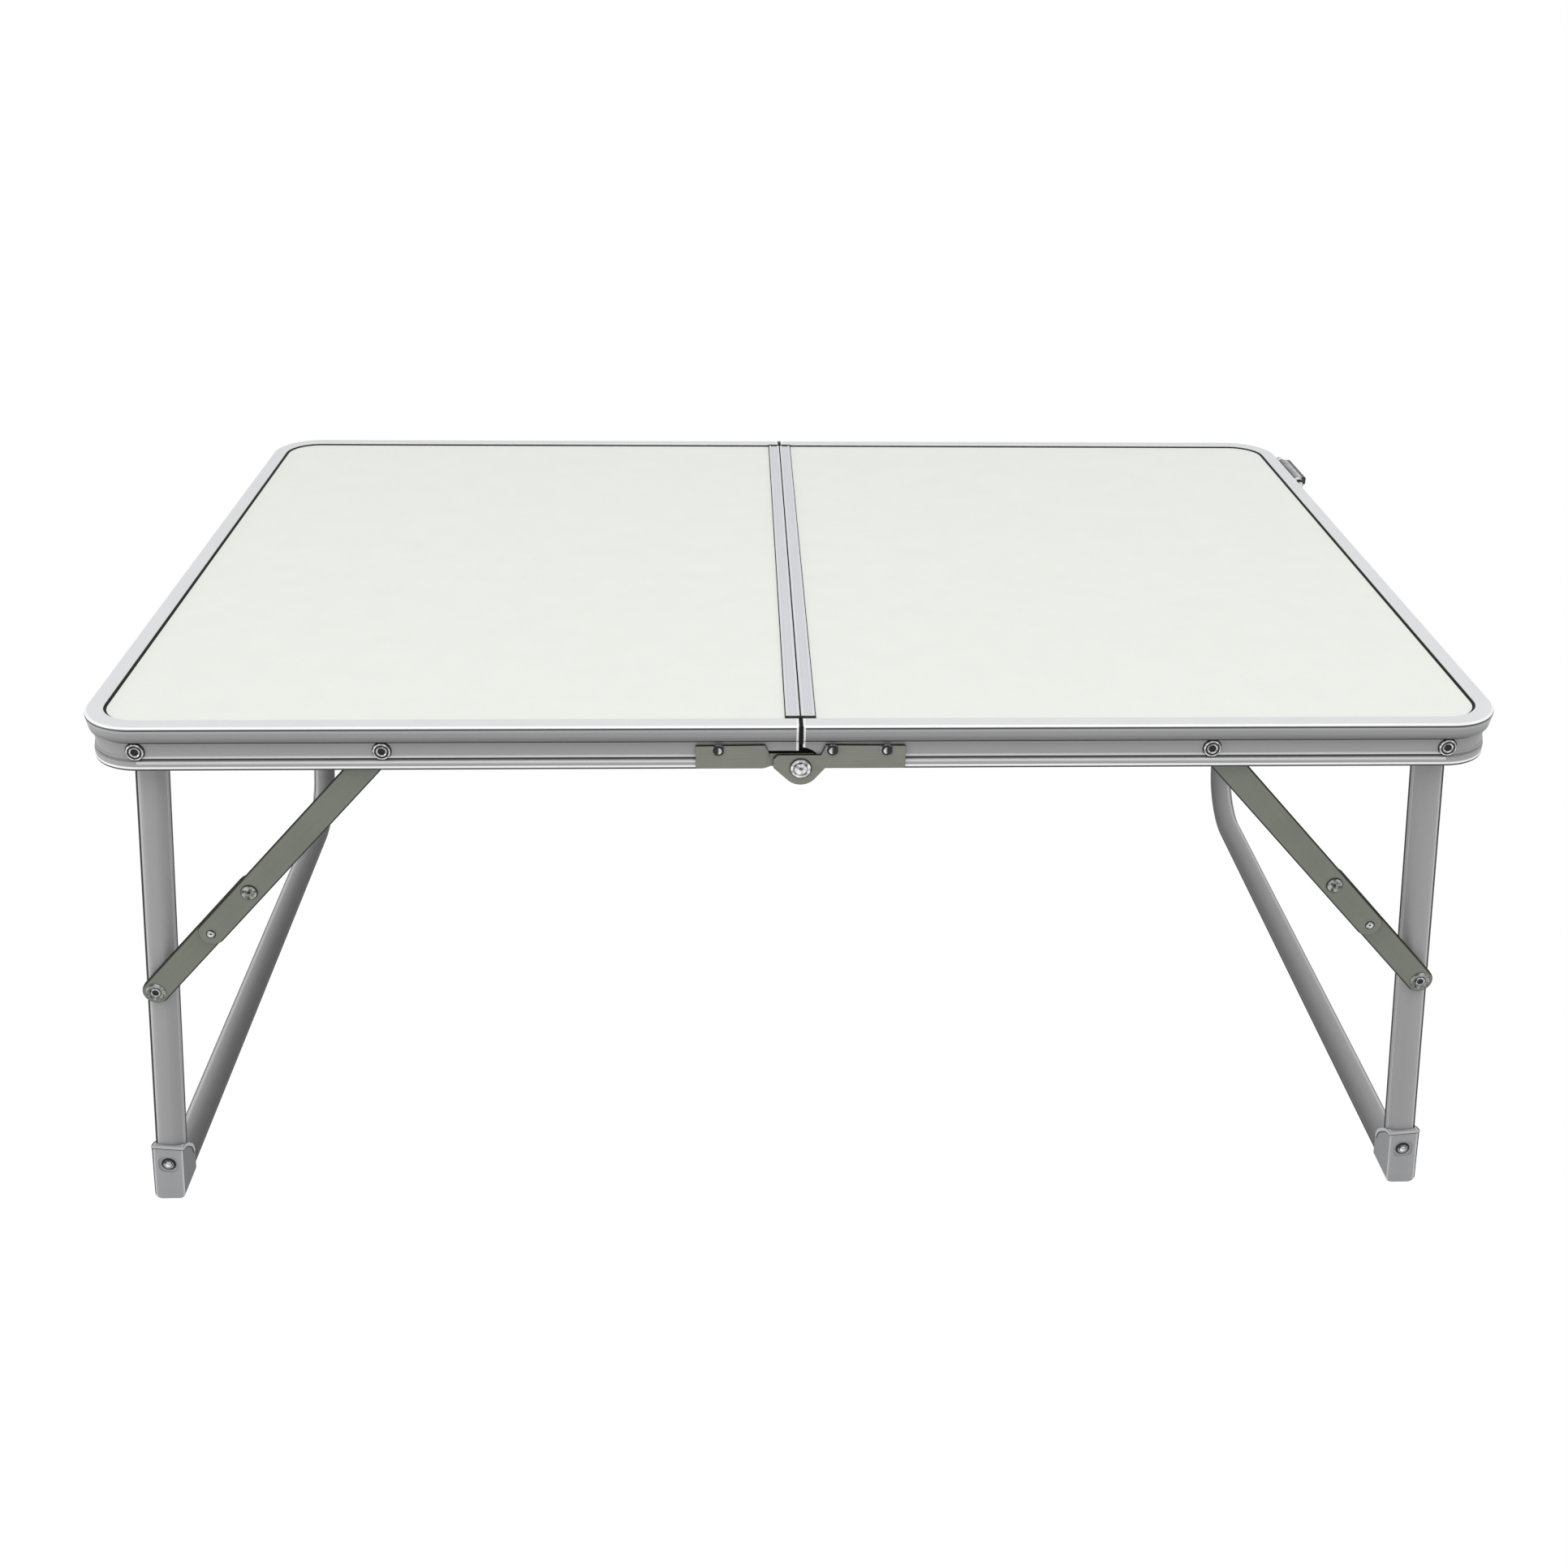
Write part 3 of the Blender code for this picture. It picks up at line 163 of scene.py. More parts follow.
def bent_round(section, seam, finish_of):
    """A bar of the given (outward, up) section bent round the outline of the right half."""
    shape = bmesh.new()
    rings = [
        [shape.verts.new((x, y, TOP_HEIGHT + up)) for (x, y), (_, up) in zip(ring, section)]
        for ring in zip(*[outline_at(out, seam) for out, _ in section])
    ]
    last = len(rings) - 2
    where = {0: "end", last: "end", 1: "straight", last - 1: "straight"}
    strips = list(zip(section, section[1:] + section[:1]))
    skin(shape, rings, lambda i, j: finish_of(*strips[j], where.get(i, "bend")))
    for ring in (rings[0], rings[-1]):
        shape.faces.new(ring).material_index = finish_of(*strips[0], "end")
    bmesh.ops.recalc_face_normals(shape, faces=shape.faces)
    return shape


def rim_finish(first, second, where):
    """Which finish a strip of the rim has: painted-light face, bare inside, painted-highlight cut end, or
    painted-light bend.
    """
    out = (first[0] + second[0]) / 2 / MM
    up = (first[1] + second[1]) / 2 / MM
    if out < RIM_INSIDE and up < LIP_UNDERSIDE:
        return 1
    return {"straight": 0, "end": 2, "bend": 3}[where]


def mirrored(shape, side, face):
    """A copy for one quadrant of the table, from a shape made for the right half and the rear side."""
    copy = shape.copy()
    copy.transform(Matrix.Diagonal((side, face, 1, 1)))
    if side * face < 0:
        bmesh.ops.reverse_faces(copy, faces=copy.faces)
    return copy


def to_mesh(name, shape):
    mesh = bpy.data.meshes.new(name)
    shape.to_mesh(mesh)
    shape.free()
    return mesh


def moved(x, y, z):
    return Matrix.Translation((x, y, z))


def linked(name, data):
    thing = bpy.data.objects.new(name, data)
    bpy.context.scene.collection.objects.link(thing)
    return thing


def worked_mesh(thing):
    """The mesh of a piece or a curve, with its steps applied."""
    bpy.context.view_layer.update()
    return bpy.data.meshes.new_from_object(thing.evaluated_get(bpy.context.evaluated_depsgraph_get()))


def apply_steps(piece):
    mesh = worked_mesh(piece)
    piece.modifiers.clear()
    piece.data = mesh


def carve(piece, shape, matrix=None, operation="DIFFERENCE"):
    """Cuts the shape out of the piece, or keeps only what the shape covers."""
    cutter = linked("cutter", to_mesh("cutter", shape))
    cutter.matrix_world = matrix or Matrix.Identity(4)
    step = piece.modifiers.new("carve", "BOOLEAN")
    step.operation = operation
    step.solver = "EXACT"
    step.object = cutter
    apply_steps(piece)
    bpy.data.objects.remove(cutter, do_unlink=True)


def soften(piece, edge, steps=2, angle=40):
    """Rounds the piece's edges by a small radius."""
    step = piece.modifiers.new("edges", "BEVEL")
    step.width = edge
    step.segments = steps
    step.limit_method = "ANGLE"
    step.angle_limit = radians(angle)
    step.miter_outer = "MITER_ARC"
    step.use_clamp_overlap = True
    apply_steps(piece)


def put(name, shape, finishes, matrix=None):
    """A piece made of the shape, placed by the matrix and given its finishes."""
    piece = linked(name, to_mesh(name, shape))
    piece.matrix_world = matrix or Matrix.Identity(4)
    for coat in finishes:
        piece.data.materials.append(coat)
    bpy.context.view_layer.update()
    return piece


def fix(piece, body, slot, *nodes):
    """Smooths the piece, hangs it on its body and shows it in place of the CAD nodes."""
    piece.data.shade_smooth()
    piece.data.set_sharp_from_angle(angle=SHARP_ANGLE)
    even = piece.modifiers.new("even_shading", "WEIGHTED_NORMAL")
    even.keep_sharp = True
    even.weight = 100
    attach(piece, body)
    if nodes:
        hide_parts(*nodes)


def node(tree, kind, inputs=None, **settings):
    """A shader node with its settings, and then the values of its inputs."""
    made = tree.nodes.new("ShaderNode" + kind)
    for key, value in settings.items():
        setattr(made, key, value)
    for key, value in (inputs or {}).items():
        made.inputs[key].default_value = value
    return made


def wire(tree, *links):
    """Joins sockets, each link given as (node, output, node, input)."""
    for source, output, target, entry in links:
        tree.links.new(source.outputs[output], target.inputs[entry])


def finish(
    name, colour, roughness, metallic, grain, streaks=0.05, clouds=0.04, cloud_size=30, bump=0.02, soft=0.25,
    gloss=0.5, tones=None, tint=(1, 1, 1)
):
    """A procedural surface: fine streaks drawn along the grain, soft clouds of tone, and roughness that follows.

    Tones, where given, draw bands of shade across the piece: an axis, the place on it where they start, their unit
    and (distance, grey) pairs. The tint colours the greys; a pair may hold a colour of its own instead.
    """
    made = bpy.data.materials.new(name)
    made.use_nodes = True
    tree = made.node_tree
    shader = tree.nodes["Principled BSDF"]
    shader.inputs["Metallic"].default_value = metallic
    shader.inputs["Specular IOR Level"].default_value = gloss
    coords = node(tree, "TexCoord")
    stretch = node(tree, "Mapping", {"Scale": grain})
    lines = node(tree, "TexNoise", {"Scale": 1, "Detail": 3})
    spots = node(tree, "TexNoise", {"Scale": cloud_size, "Detail": 4})
    noise = {"From Min": 0.5 - soft, "From Max": 0.5 + soft}
    line_tone = node(tree, "MapRange", noise | {"To Min": -streaks, "To Max": streaks})
    spot_tone = node(tree, "MapRange", noise | {"To Min": -clouds, "To Max": clouds})
    both = node(tree, "Math")
    spread = streaks + clouds
    widen = node(tree, "MapRange", {"From Min": -spread, "From Max": spread})
    ramp = node(tree, "ValToRGB")
    ramp.color_ramp.elements[0].color = (*[c * (1 - spread) for c in colour], 1)
    ramp.color_ramp.elements[1].color = (*[min(1, c * (1 + spread)) for c in colour], 1)
    rough = node(tree, "MapRange", {"To Min": max(SHINIEST, roughness * 0.85), "To Max": roughness * 1.15})
    relief = node(tree, "Bump", {"Strength": 0.5, "Distance": bump * MM})
    wire(
        tree,
        (coords, "Object", stretch, "Vector"), (stretch, "Vector", lines, "Vector"),
        (coords, "Object", spots, "Vector"), (lines, 0, line_tone, "Value"), (spots, 0, spot_tone, "Value"),
        (line_tone, 0, both, 0), (spot_tone, 0, both, 1), (both, 0, widen, "Value"), (widen, 0, ramp, "Fac"),
        (lines, 0, rough, "Value"), (rough, 0, shader, "Roughness"), (lines, 0, relief, "Height"),
        (relief, "Normal", shader, "Normal"),
    )
    if not tones:
        wire(tree, (ramp, "Color", shader, "Base Color"))
        return made
    axis, start, unit, pairs = tones
    reach = pairs[-1][0]
    split = node(tree, "SeparateXYZ")
    place = node(tree, "MapRange", {"From Min": start, "From Max": start + reach * unit})
    drawn = node(tree, "ValToRGB")
    stops = drawn.color_ramp.elements
    for distance, _ in pairs[1:-1]:
        stops.new(distance / reach)
    for stop, (_, tone) in zip(stops, pairs):
        stop.color = (*(tone if isinstance(tone, tuple) else [tone * part for part in tint]), 1)
    mix = node(tree, "Mix", {0: 1}, data_type="RGBA", blend_type="MULTIPLY")
    wire(
        tree,
        (coords, "Object", split, 0), (split, axis, place, "Value"), (place, 0, drawn, "Fac"),
        (drawn, "Color", mix, "A"), (ramp, "Color", mix, "B"), (mix, "Result", shader, "Base Color"),
    )
    return made


def round_cutter(radius, depth, steps=48):
    """A cylinder along Y, from a little outside the bead face to the given depth behind it."""
    shape = bmesh.new()
    length = depth + CUTTER_RUN
    bmesh.ops.create_cone(shape, cap_ends=True, segments=steps, radius1=radius, radius2=radius, depth=length)
    shape.transform(moved(0, -(depth - CUTTER_RUN) / 2, 0) @ Matrix.Rotation(pi / 2, 4, "X"))
    return shape


def box(low, high):
    shape = bmesh.new()
    bmesh.ops.create_cube(shape, size=1)
    size = Vector(high) - Vector(low)
    middle = (Vector(high) + Vector(low)) / 2
    shape.transform(moved(*middle) @ Matrix.Diagonal((*size, 1)))
    return shape


ALONG_RIM = (40, 40, 2600)
# The rim's face carries these painted light bands; round the bends the ridge's painted lines are left out.
straight_painted_light = ("Z", TOP_HEIGHT, -MM, BEAD_PAINTED_LIGHT + RIDGE_PAINTED_LIGHT + BOTTOM_EDGE_PAINTED_LIGHT)
bend_painted_light = ("Z", TOP_HEIGHT, -MM, BEAD_PAINTED_LIGHT + BOTTOM_EDGE_PAINTED_LIGHT)
rim_finishes = [
    finish("rim_painted_light_aluminium", (1, 1, 1), 0.4, 0.2, ALONG_RIM, 0.03, 0.03, tones=straight_painted_light),
    finish("rim_inside_aluminium", (0.36, 0.36, 0.365), 0.45, 0.3, ALONG_RIM, 0.06, 0.05),
    # The cut ends at the seam: bare bright metal, with a painted highlight on top.
    finish("rim_cut_end_highlight_aluminium", (0.90, 0.905, 0.91), 0.3, 0.3, (900, 900, 900), 0.03, 0.05, 200),
    finish("rim_bend_painted_light_aluminium", (1, 1, 1), 0.4, 0.2, ALONG_RIM, 0.03, 0.03, tones=bend_painted_light),
]
rim_section = rounded(RIM_CORNERS, unit=MM)
rim_shape = bent_round(rim_section, SEAM, rim_finish)
hinge_height = TOP_HEIGHT - HINGE_DROP
for hand, side in SIDES.items():
    rim = put(f"{hand}_rim_extrusion", mirrored(rim_shape, side, 1), rim_finishes)
    for face in FACES.values():
        notch = round_cutter(NOTCH_RADIUS, SKIRT_BACK + NOTCH_PAST_SKIRT) if side > 0 else box(*EAR_NOTCH)
        place = moved(0, face * BEAD_FACE, hinge_height)
        carve(rim, mirrored(notch, side, face), place)
    fix(rim, f"{hand}_half", "aluminium", f"{hand}_rim")

# Panels: thin laminate boards with a cream printed face, slid into the slot of the rim. A thin near-black strip
# stands for the shade in the step between board and lip, and runs on beside the centre rail.

PANEL_TOP = 1.1 * MM
PANEL_BOTTOM = 3.4 * MM
PANEL_INSET = 2.5 * MM
PANEL_SEAM = 2.2 * MM
RAIL_EDGE = 6.15 * MM
SHADE_LINE_WIDTH = 1.3 * MM
SHADE_LINE_OUT = -8 * MM
SHADE_LINE_LAP = 0.1 * MM
SHADE_LINE_LOW = -1.15 * MM
SHADE_LINE_HIGH = -0.85 * MM
SHADE_LINE_LIP = -0.82 * MM
SHADE_LINE_END = BEAD_FACE - 8 * MM
RAIL_SHADE_LINE_WIDTH = 0.4 * MM
PANEL_EDGE = 0.2 * MM
MERGE_WITHIN = 0.002 * MM
PANEL_COLOUR = (0.835, 0.85, 0.80)
AXES = {
    "x": Matrix(((0, 0, 1, 0), (1, 0, 0, 0), (0, 1, 0, 0), (0, 0, 0, 1))),
    "y": Matrix(((1, 0, 0, 0), (0, 0, 1, 0), (0, 1, 0, 0), (0, 0, 0, 1))),
    "z": Matrix.Identity(4),
}


def plate(outline, low, high, axis, edge=0.0, steps=1):
    """A flat sheet of the outline with softened edges, filling low to high along the axis."""
    curve = bpy.data.curves.new("plate", "CURVE")
    curve.dimensions = "2D"
    curve.fill_mode = "BOTH"
    curve.extrude = (high - low) / 2 - edge
    curve.bevel_depth = edge
    curve.bevel_resolution = steps
    curve.offset = -edge
    spline = curve.splines.new("POLY")
    spline.points.add(len(outline) - 1)
    for target, (x, y) in zip(spline.points, outline):
        target.co = (x, y, 0, 1)
    spline.use_cyclic_u = True
    sheet = linked("plate", curve)
    mesh = worked_mesh(sheet)
    bpy.data.objects.remove(sheet, do_unlink=True)
    bpy.data.curves.remove(curve)
    shape = bmesh.new()
    shape.from_mesh(mesh)
    bpy.data.meshes.remove(mesh)
    bmesh.ops.remove_doubles(shape, verts=shape.verts, dist=MERGE_WITHIN)
    shape.transform(AXES[axis] @ moved(0, 0, (low + high) / 2))
    bmesh.ops.recalc_face_normals(shape, faces=shape.faces)
    return shape


def joined(*shapes):
    made = bmesh.new()
    for shape in shapes:
        mesh = to_mesh("joined", shape)
        made.from_mesh(mesh)
        bpy.data.meshes.remove(mesh)
    return made


laminate = finish("cream_laminate", PANEL_COLOUR, 0.42, 0.0, (900, 900, 900), 0.010, 0.012, 60, 0.006)
# Near-black painted shade for the gaps: under the lip, beside the rail, in the seam and at the rail ends.
gap_shade = finish("gap_shade_black", (0.012, 0.012, 0.011), 0.7, 0.0, (300, 300, 300), 0.1, 0.1, 90, 0.05, gloss=0.2)
panel_shape = plate(outline_at(-PANEL_INSET, PANEL_SEAM), -PANEL_BOTTOM, -PANEL_TOP, "z", PANEL_EDGE)
panel_shape.transform(moved(0, 0, TOP_HEIGHT))
# A thin near-black strip in the step under the lip stands for its shade.
shade_line_section = [
    (SHADE_LINE_OUT + SHADE_LINE_LAP, SHADE_LINE_LOW),
    (SHADE_LINE_OUT + SHADE_LINE_LAP, SHADE_LINE_LIP),
    (SHADE_LINE_OUT - SHADE_LINE_WIDTH / 2, SHADE_LINE_HIGH),
    (SHADE_LINE_OUT - SHADE_LINE_WIDTH, SHADE_LINE_LOW),
]
shade_line_shape = bent_round(shade_line_section, RAIL_EDGE, lambda first, second, where: 0)
rail_shade_line = box(
    (RAIL_EDGE - SHADE_LINE_LAP, -SHADE_LINE_END, TOP_HEIGHT + SHADE_LINE_LOW),
    (RAIL_EDGE + RAIL_SHADE_LINE_WIDTH, SHADE_LINE_END, TOP_HEIGHT + SHADE_LINE_HIGH),
)
shade_line_shape = joined(shade_line_shape, rail_shade_line)
for hand, side in SIDES.items():
    panel = put(f"{hand}_laminate_panel", mirrored(panel_shape, side, 1), [laminate])
    fix(panel, f"{hand}_half", "laminate", f"{hand}_panel")
    shade_line = put(f"{hand}_panel_shade_line", mirrored(shade_line_shape, side, 1), [gap_shade])
    fix(shade_line, f"{hand}_half", "foot_plastic")

# Centre rails: two extruded strips that close the panels along the seam. Each has a raised bead along both edges
# and a flat between them; the beads' tops are painted lighter as a highlight. Near-black blocks at the end of each
# half, at the rim and down the seam, and a near-black strip along the seam, are painted shade in those gaps.

RAIL_NEAR = 0.3 * MM
SHADE_BLOCK_EDGE = 0.1 * MM
RAIL_END = 189.4 * MM
BEAD_UNDERSIDE = -0.25 * MM
NEAR_BEAD = 1.6 * MM
FAR_BEAD = 5 * MM
RAIL_SECTION = (
    (0.3, 0, 0.2), (1.5, 0, 0.2), (1.7, -0.3, 0.05), (4.9, -0.3, 0.05), (5.1, 0, 0.2), (6.15, 0, 0.3),
    (6.15, -0.8, 0.1), (1.7, -0.8, 0), (1.7, -3.7, 0), (7.5, -3.7, 0), (7.5, -4.9, 0.1), (1.7, -4.9, 0),
    (1.7, -16.6, 0), (5, -16.6, 0.1), (5, -18, 0.2), (0.3, -18, 0.2),
)


def bar_along(section, low, high, finish_of):
    """A straight bar along Y of the given (x, up) section about the top."""
    shape = bmesh.new()
    ends = [[shape.verts.new((x, y, TOP_HEIGHT + up)) for x, up in section] for y in (low, high)]
    strips = list(zip(section, section[1:] + section[:1]))
    skin(shape, ends, lambda i, j: finish_of(*strips[j]))
    for ring in ends:
        shape.faces.new(ring)
    bmesh.ops.recalc_face_normals(shape, faces=shape.faces)
    return shape


# The tops of the beads take the lighter finish, a painted highlight.
def rail_finish(first, second):
    up = (first[1] + second[1]) / 2
    x = (first[0] + second[0]) / 2
    return int(up > BEAD_UNDERSIDE and not NEAR_BEAD <= x <= FAR_BEAD)


ALONG_RAIL = (2400, 12, 2400)
rail_finishes = [
    finish("rail_flat_aluminium", (0.69, 0.695, 0.73), 0.36, 0.35, ALONG_RAIL, 0.03, 0.02),
    finish("rail_bead_highlight_aluminium", (0.74, 0.745, 0.78), 0.3, 0.35, ALONG_RAIL, 0.03, 0.02),
]
rail_section = rounded(RAIL_SECTION, 3, MM)
rail_shape = bar_along(rail_section, -RAIL_END, RAIL_END, rail_finish)
# Near-black blocks at the rail ends and in the seam stand for the shade in those gaps.
SHADE_BLOCK_BOXES = (
    ((0.1, 189.45, -1.1), (6.5, 192, -0.05)),
    ((0.06, 191.5, -8.3), (1, 199.75, -0.3)),
    ((0.06, 191.5, -12.5), (1, 195.4, -8.3)),
    ((0.06, 191, -17.6), (16.2, 194.2, -5)),
)
# A near-black strip in the seam between the rims stands for the shade seen into the gap.
seam_shade_low = (0.04 * MM, -RAIL_END, TOP_HEIGHT - 6 * MM)
seam_shade_high = (RAIL_NEAR, RAIL_END, TOP_HEIGHT - 0.75 * MM)
for hand, side in SIDES.items():
    rail = put(f"{hand}_rail_extrusion", mirrored(rail_shape, side, 1), rail_finishes)
    fix(rail, f"{hand}_half", "rail", f"{hand}_center_rail")
    strip = put(f"{hand}_seam_shade_strip", mirrored(box(seam_shade_low, seam_shade_high), side, 1), [gap_shade])
    fix(strip, f"{hand}_half", "foot_plastic")
    for face_name, face in FACES.items():
        boxes = [box(Vector(low) * MM, Vector(high) * MM) for low, high in SHADE_BLOCK_BOXES]
        place = moved(0, 0, TOP_HEIGHT)
        block = put(f"{hand}_end_shade_block_{face_name}", mirrored(joined(*boxes), side, face), [gap_shade], place)
        soften(block, SHADE_BLOCK_EDGE)
        fix(block, f"{hand}_half", "foot_plastic")

# Centre hinges: two pressed steel plates on each long side, riveted to the rim wall. The left ear is set back
# behind the right one, and a round-headed pin joins them just under the seam. The plates' cut edges, and the left
# plate's joggle, are painted near-black as a shade outline.

PLATE_THICK = 1.5 * MM
EAR_FRONT = 1.3 * MM
EAR_BACK = EAR_FRONT + PLATE_THICK
EAR_PLAY = 0.3 * MM
REAR_EAR_FRONT = EAR_BACK + EAR_PLAY
REAR_EAR_BACK = REAR_EAR_FRONT + PLATE_THICK
PLATE_LENGTH = 44 * MM
PLATE_HEIGHT = 10.6 * MM
PLATE_CORNER = 0.7 * MM
EAR_RADIUS = 8 * MM
EAR_TOP = 6 * MM
EAR_CHAMFER = 2 * MM
EAR_REACH = 11.5 * MM
EAR_ROOT = 10.5 * MM
FRONT_EAR_STEPS = 20
REAR_EAR_STEPS = 28
FLAT_FACE = 0.9
JOGGLE_FACE = 0.6
JOGGLE_START = 15 * MM
JOGGLE_END = 12.6 * MM
PLATE_EDGE = 0.28 * MM
PLATE_RIVET_RISE = 8.5 * MM
RIVET_PLACES = {"right": (13.2 * MM, 36 * MM), "left": (34.5 * MM,)}
STEEL_COLOUR = (0.225, 0.23, 0.195)


def tangent_point(reach, radius, side):
    """Where a line from a point at reach beside the pivot touches the lower half of the ear's round."""
    angle = acos(radius / reach)
    return (side * radius * cos(angle), -radius * sin(angle))


def turn_of(point):
    return atan2(point[1], point[0])


plate_end = rounded(
    [(EAR_ROOT, 0, 0), (PLATE_LENGTH, 0, PLATE_CORNER), (PLATE_LENGTH, PLATE_HEIGHT, PLATE_CORNER)]
)


def right_plate():
    flare = tangent_point(EAR_REACH, EAR_RADIUS, -1)
    root = tangent_point(EAR_ROOT, EAR_RADIUS, 1)
    outline = [(-EAR_REACH + EAR_CHAMFER, EAR_TOP), (-EAR_REACH, EAR_TOP - EAR_CHAMFER), (-EAR_REACH, 0)]
    outline += arc((0, 0), EAR_RADIUS, turn_of(flare), turn_of(root), FRONT_EAR_STEPS)
    outline += plate_end
    outline += [(EAR_ROOT, PLATE_HEIGHT), (EAR_ROOT - EAR_CHAMFER, EAR_TOP)]
    return plate(outline, -EAR_BACK, -EAR_FRONT, "y", PLATE_EDGE)


def left_plate_profile():
    """The left plate seen from above: its ear set back behind a joggle."""
    step = REAR_EAR_FRONT - EAR_FRONT
    far = -EAR_RADIUS - CUTTER_RUN
    flat = [(far, -REAR_EAR_FRONT), (JOGGLE_END, -REAR_EAR_FRONT), (JOGGLE_START, -EAR_FRONT)]
    flat += [(PLATE_LENGTH, -EAR_FRONT), (PLATE_LENGTH, -EAR_BACK), (JOGGLE_START, -EAR_BACK)]
    flat += [(JOGGLE_END, -EAR_BACK - step), (far, -REAR_EAR_BACK)]
    return plate(flat, far, PLATE_HEIGHT + CUTTER_RUN, "z")


def left_plate_face():
    root = tangent_point(EAR_ROOT, EAR_RADIUS, 1)
    side = sqrt(EAR_RADIUS**2 - EAR_TOP**2)
    outline = arc((0, 0), EAR_RADIUS, atan2(EAR_TOP, -side), turn_of(root) + tau, REAR_EAR_STEPS)
    outline += plate_end
    outline += [(JOGGLE_START, PLATE_HEIGHT), (JOGGLE_START - EAR_CHAMFER, EAR_TOP)]
    return plate(outline, -REAR_EAR_BACK - CUTTER_RUN, CUTTER_RUN, "y")


def turned(profile, steps=40):
    """A round solid about the Y axis from (depth, radius, finish number) points in millimetres."""
    shape = bmesh.new()
    rings = []
    for depth, radius, _ in profile:
        turns = [tau * i / steps for i in range(steps if radius else 1)]
        ring = [(radius * MM * cos(turn), -depth * MM, radius * MM * sin(turn)) for turn in turns]
        rings.append([shape.verts.new(point) for point in ring])
    for (_, _, number), before, after in zip(profile, rings, rings[1:]):
        for i in range(steps):
            k = (i + 1) % steps
            near = [before[i % len(before)], before[k % len(before)]]
            far = [after[k % len(after)], after[i % len(after)]]
            corners = list(dict.fromkeys(near + far))
            if len(corners) > 2:
                shape.faces.new(corners).material_index = number
    bmesh.ops.recalc_face_normals(shape, faces=shape.faces)
    return shape


def quadrant(side, face, x, z, lean=0.0):
    """Where a piece's origin stands: on the bead face of its side, turned outward at its foot by lean."""
    return moved(side * x, face * BEAD_FACE, z) @ Matrix.Rotation(-side * lean, 4, "Y")


def edge_shaded(shape):
    """Gives the cut edges of a sheet facing along Y the second finish, a near-black painted shade outline."""
    shape.normal_update()
    for face in shape.faces:
        face.material_index = int(abs(face.normal.y) < FLAT_FACE)
    return shape


def coat_faces(piece, second):
    """Gives the faces whose normal passes the test the second finish, and the others the first."""
    for polygon in piece.data.polygons:
        polygon.material_index = int(second(polygon.normal))


def rivet(name, profile, steps, quarter, place, body, *nodes, finishes=None):
    """A turned rivet for a (side, face) quarter of the table, set on its body at the place."""
    shape = mirrored(turned(profile, steps), *quarter)
    fix(put(name, shape, finishes or rivet_finishes, place), body, "rivet", *nodes)


ALONG_PLATE = (60, 1500, 1500)
hinge_steel = [
    finish("hinge_steel", STEEL_COLOUR, 0.38, 0.3, ALONG_PLATE, 0.07, 0.05, 80),
    finish("hinge_steel_shade_edge", (0.02, 0.022, 0.018), 0.6, 0.0, ALONG_PLATE, 0.1, 0.1, 80, gloss=0.1),
]
EVEN = (500, 500, 500)
# The rivets' black is painted shade in rings, hollows and outlines; the polished finish is bright steel with painted
# highlights; the strong clouds of the dull and muted finishes paint mottled reflections.
rivet_finishes = [
    finish("rivet_dull", (0.26, 0.26, 0.265), 0.3, 0.4, EVEN, 0.1, 0.8, 520, 0.08, 0.12),
    finish("rivet_shade_black", (0.015, 0.015, 0.015), 0.5, 0.3, EVEN, 0.1, 0.2, 200, 0.05),
    finish("rivet_polished_highlight", (0.66, 0.66, 0.68), 0.2, 0.4, EVEN, 0.05, 0.45, 560, 0.08, 0.12),
    finish("rivet_muted", (0.25, 0.27, 0.24), 0.35, 0.3, EVEN, 0.1, 0.7, 480, 0.08, 0.12),
]
# The plate rivets' heads are painted with a white highlight beside black shade across them, and a dark ring.
RIVET_TONE_RADIUS = 2.75 * MM
RIVET_HIGHLIGHT_SHADE_TONES = (
    (0, 0.03), (0.6, 0.1), (1.2, (0.8, 0.8, 0.82)), (2.3, (0.85, 0.85, 0.87)), (2.7, 0.25), (3.1, 0.015),
    (4.3, 0.015), (4.8, (0.3, 0.3, 0.31)), (5.5, 0.05),
)
rivets_with_painted_light = {}
for hand, side in SIDES.items():
    tones = ("X", -side * RIVET_TONE_RADIUS, side * MM, RIVET_HIGHLIGHT_SHADE_TONES)
    painted_head = finish(f"rivet_painted_light_{hand}", (1, 1, 1), 0.3, 0.2, EVEN, 0.1, 0.3, 420, 0.08, 0.15, tones=tones)
    rivets_with_painted_light[hand] = rivet_finishes + [painted_head]
# In the turned profiles, finish 1 paints shade and finish 2 paints highlights on the heads.
PIN_PROFILE = (
    (0.5, 0, 0), (0.42, 0.5, 0), (0.2, 0.8, 2), (0.1, 1.75, 2), (0.16, 2.5, 0), (0.36, 2.85, 0), (0.22, 3.2, 2),
    (0.26, 3.75, 2), (0.46, 4.2, 1), (0.8, 4.65, 1), (1, 4.6, 1), (1, 2.2, 0), (4.9, 2.2, 0),
    (4.9, 3.4, 0), (5.7, 3.2, 0), (5.9, 2.6, 0), (5.9, 0, 0),
)
PLATE_RIVET_PROFILE = (
    (0.55, 0, 4), (0.5, 0.8, 4), (0.3, 1.45, 1), (0.5, 2.1, 1), (0.7, 2.4, 0), (1.1, 2.75, 0), (1.1, 1.5, 0),
    (5.7, 1.5, 0), (5.7, 2.75, 0), (6.3, 2.55, 0), (6.7, 1.9, 0), (6.7, 0, 0),
)
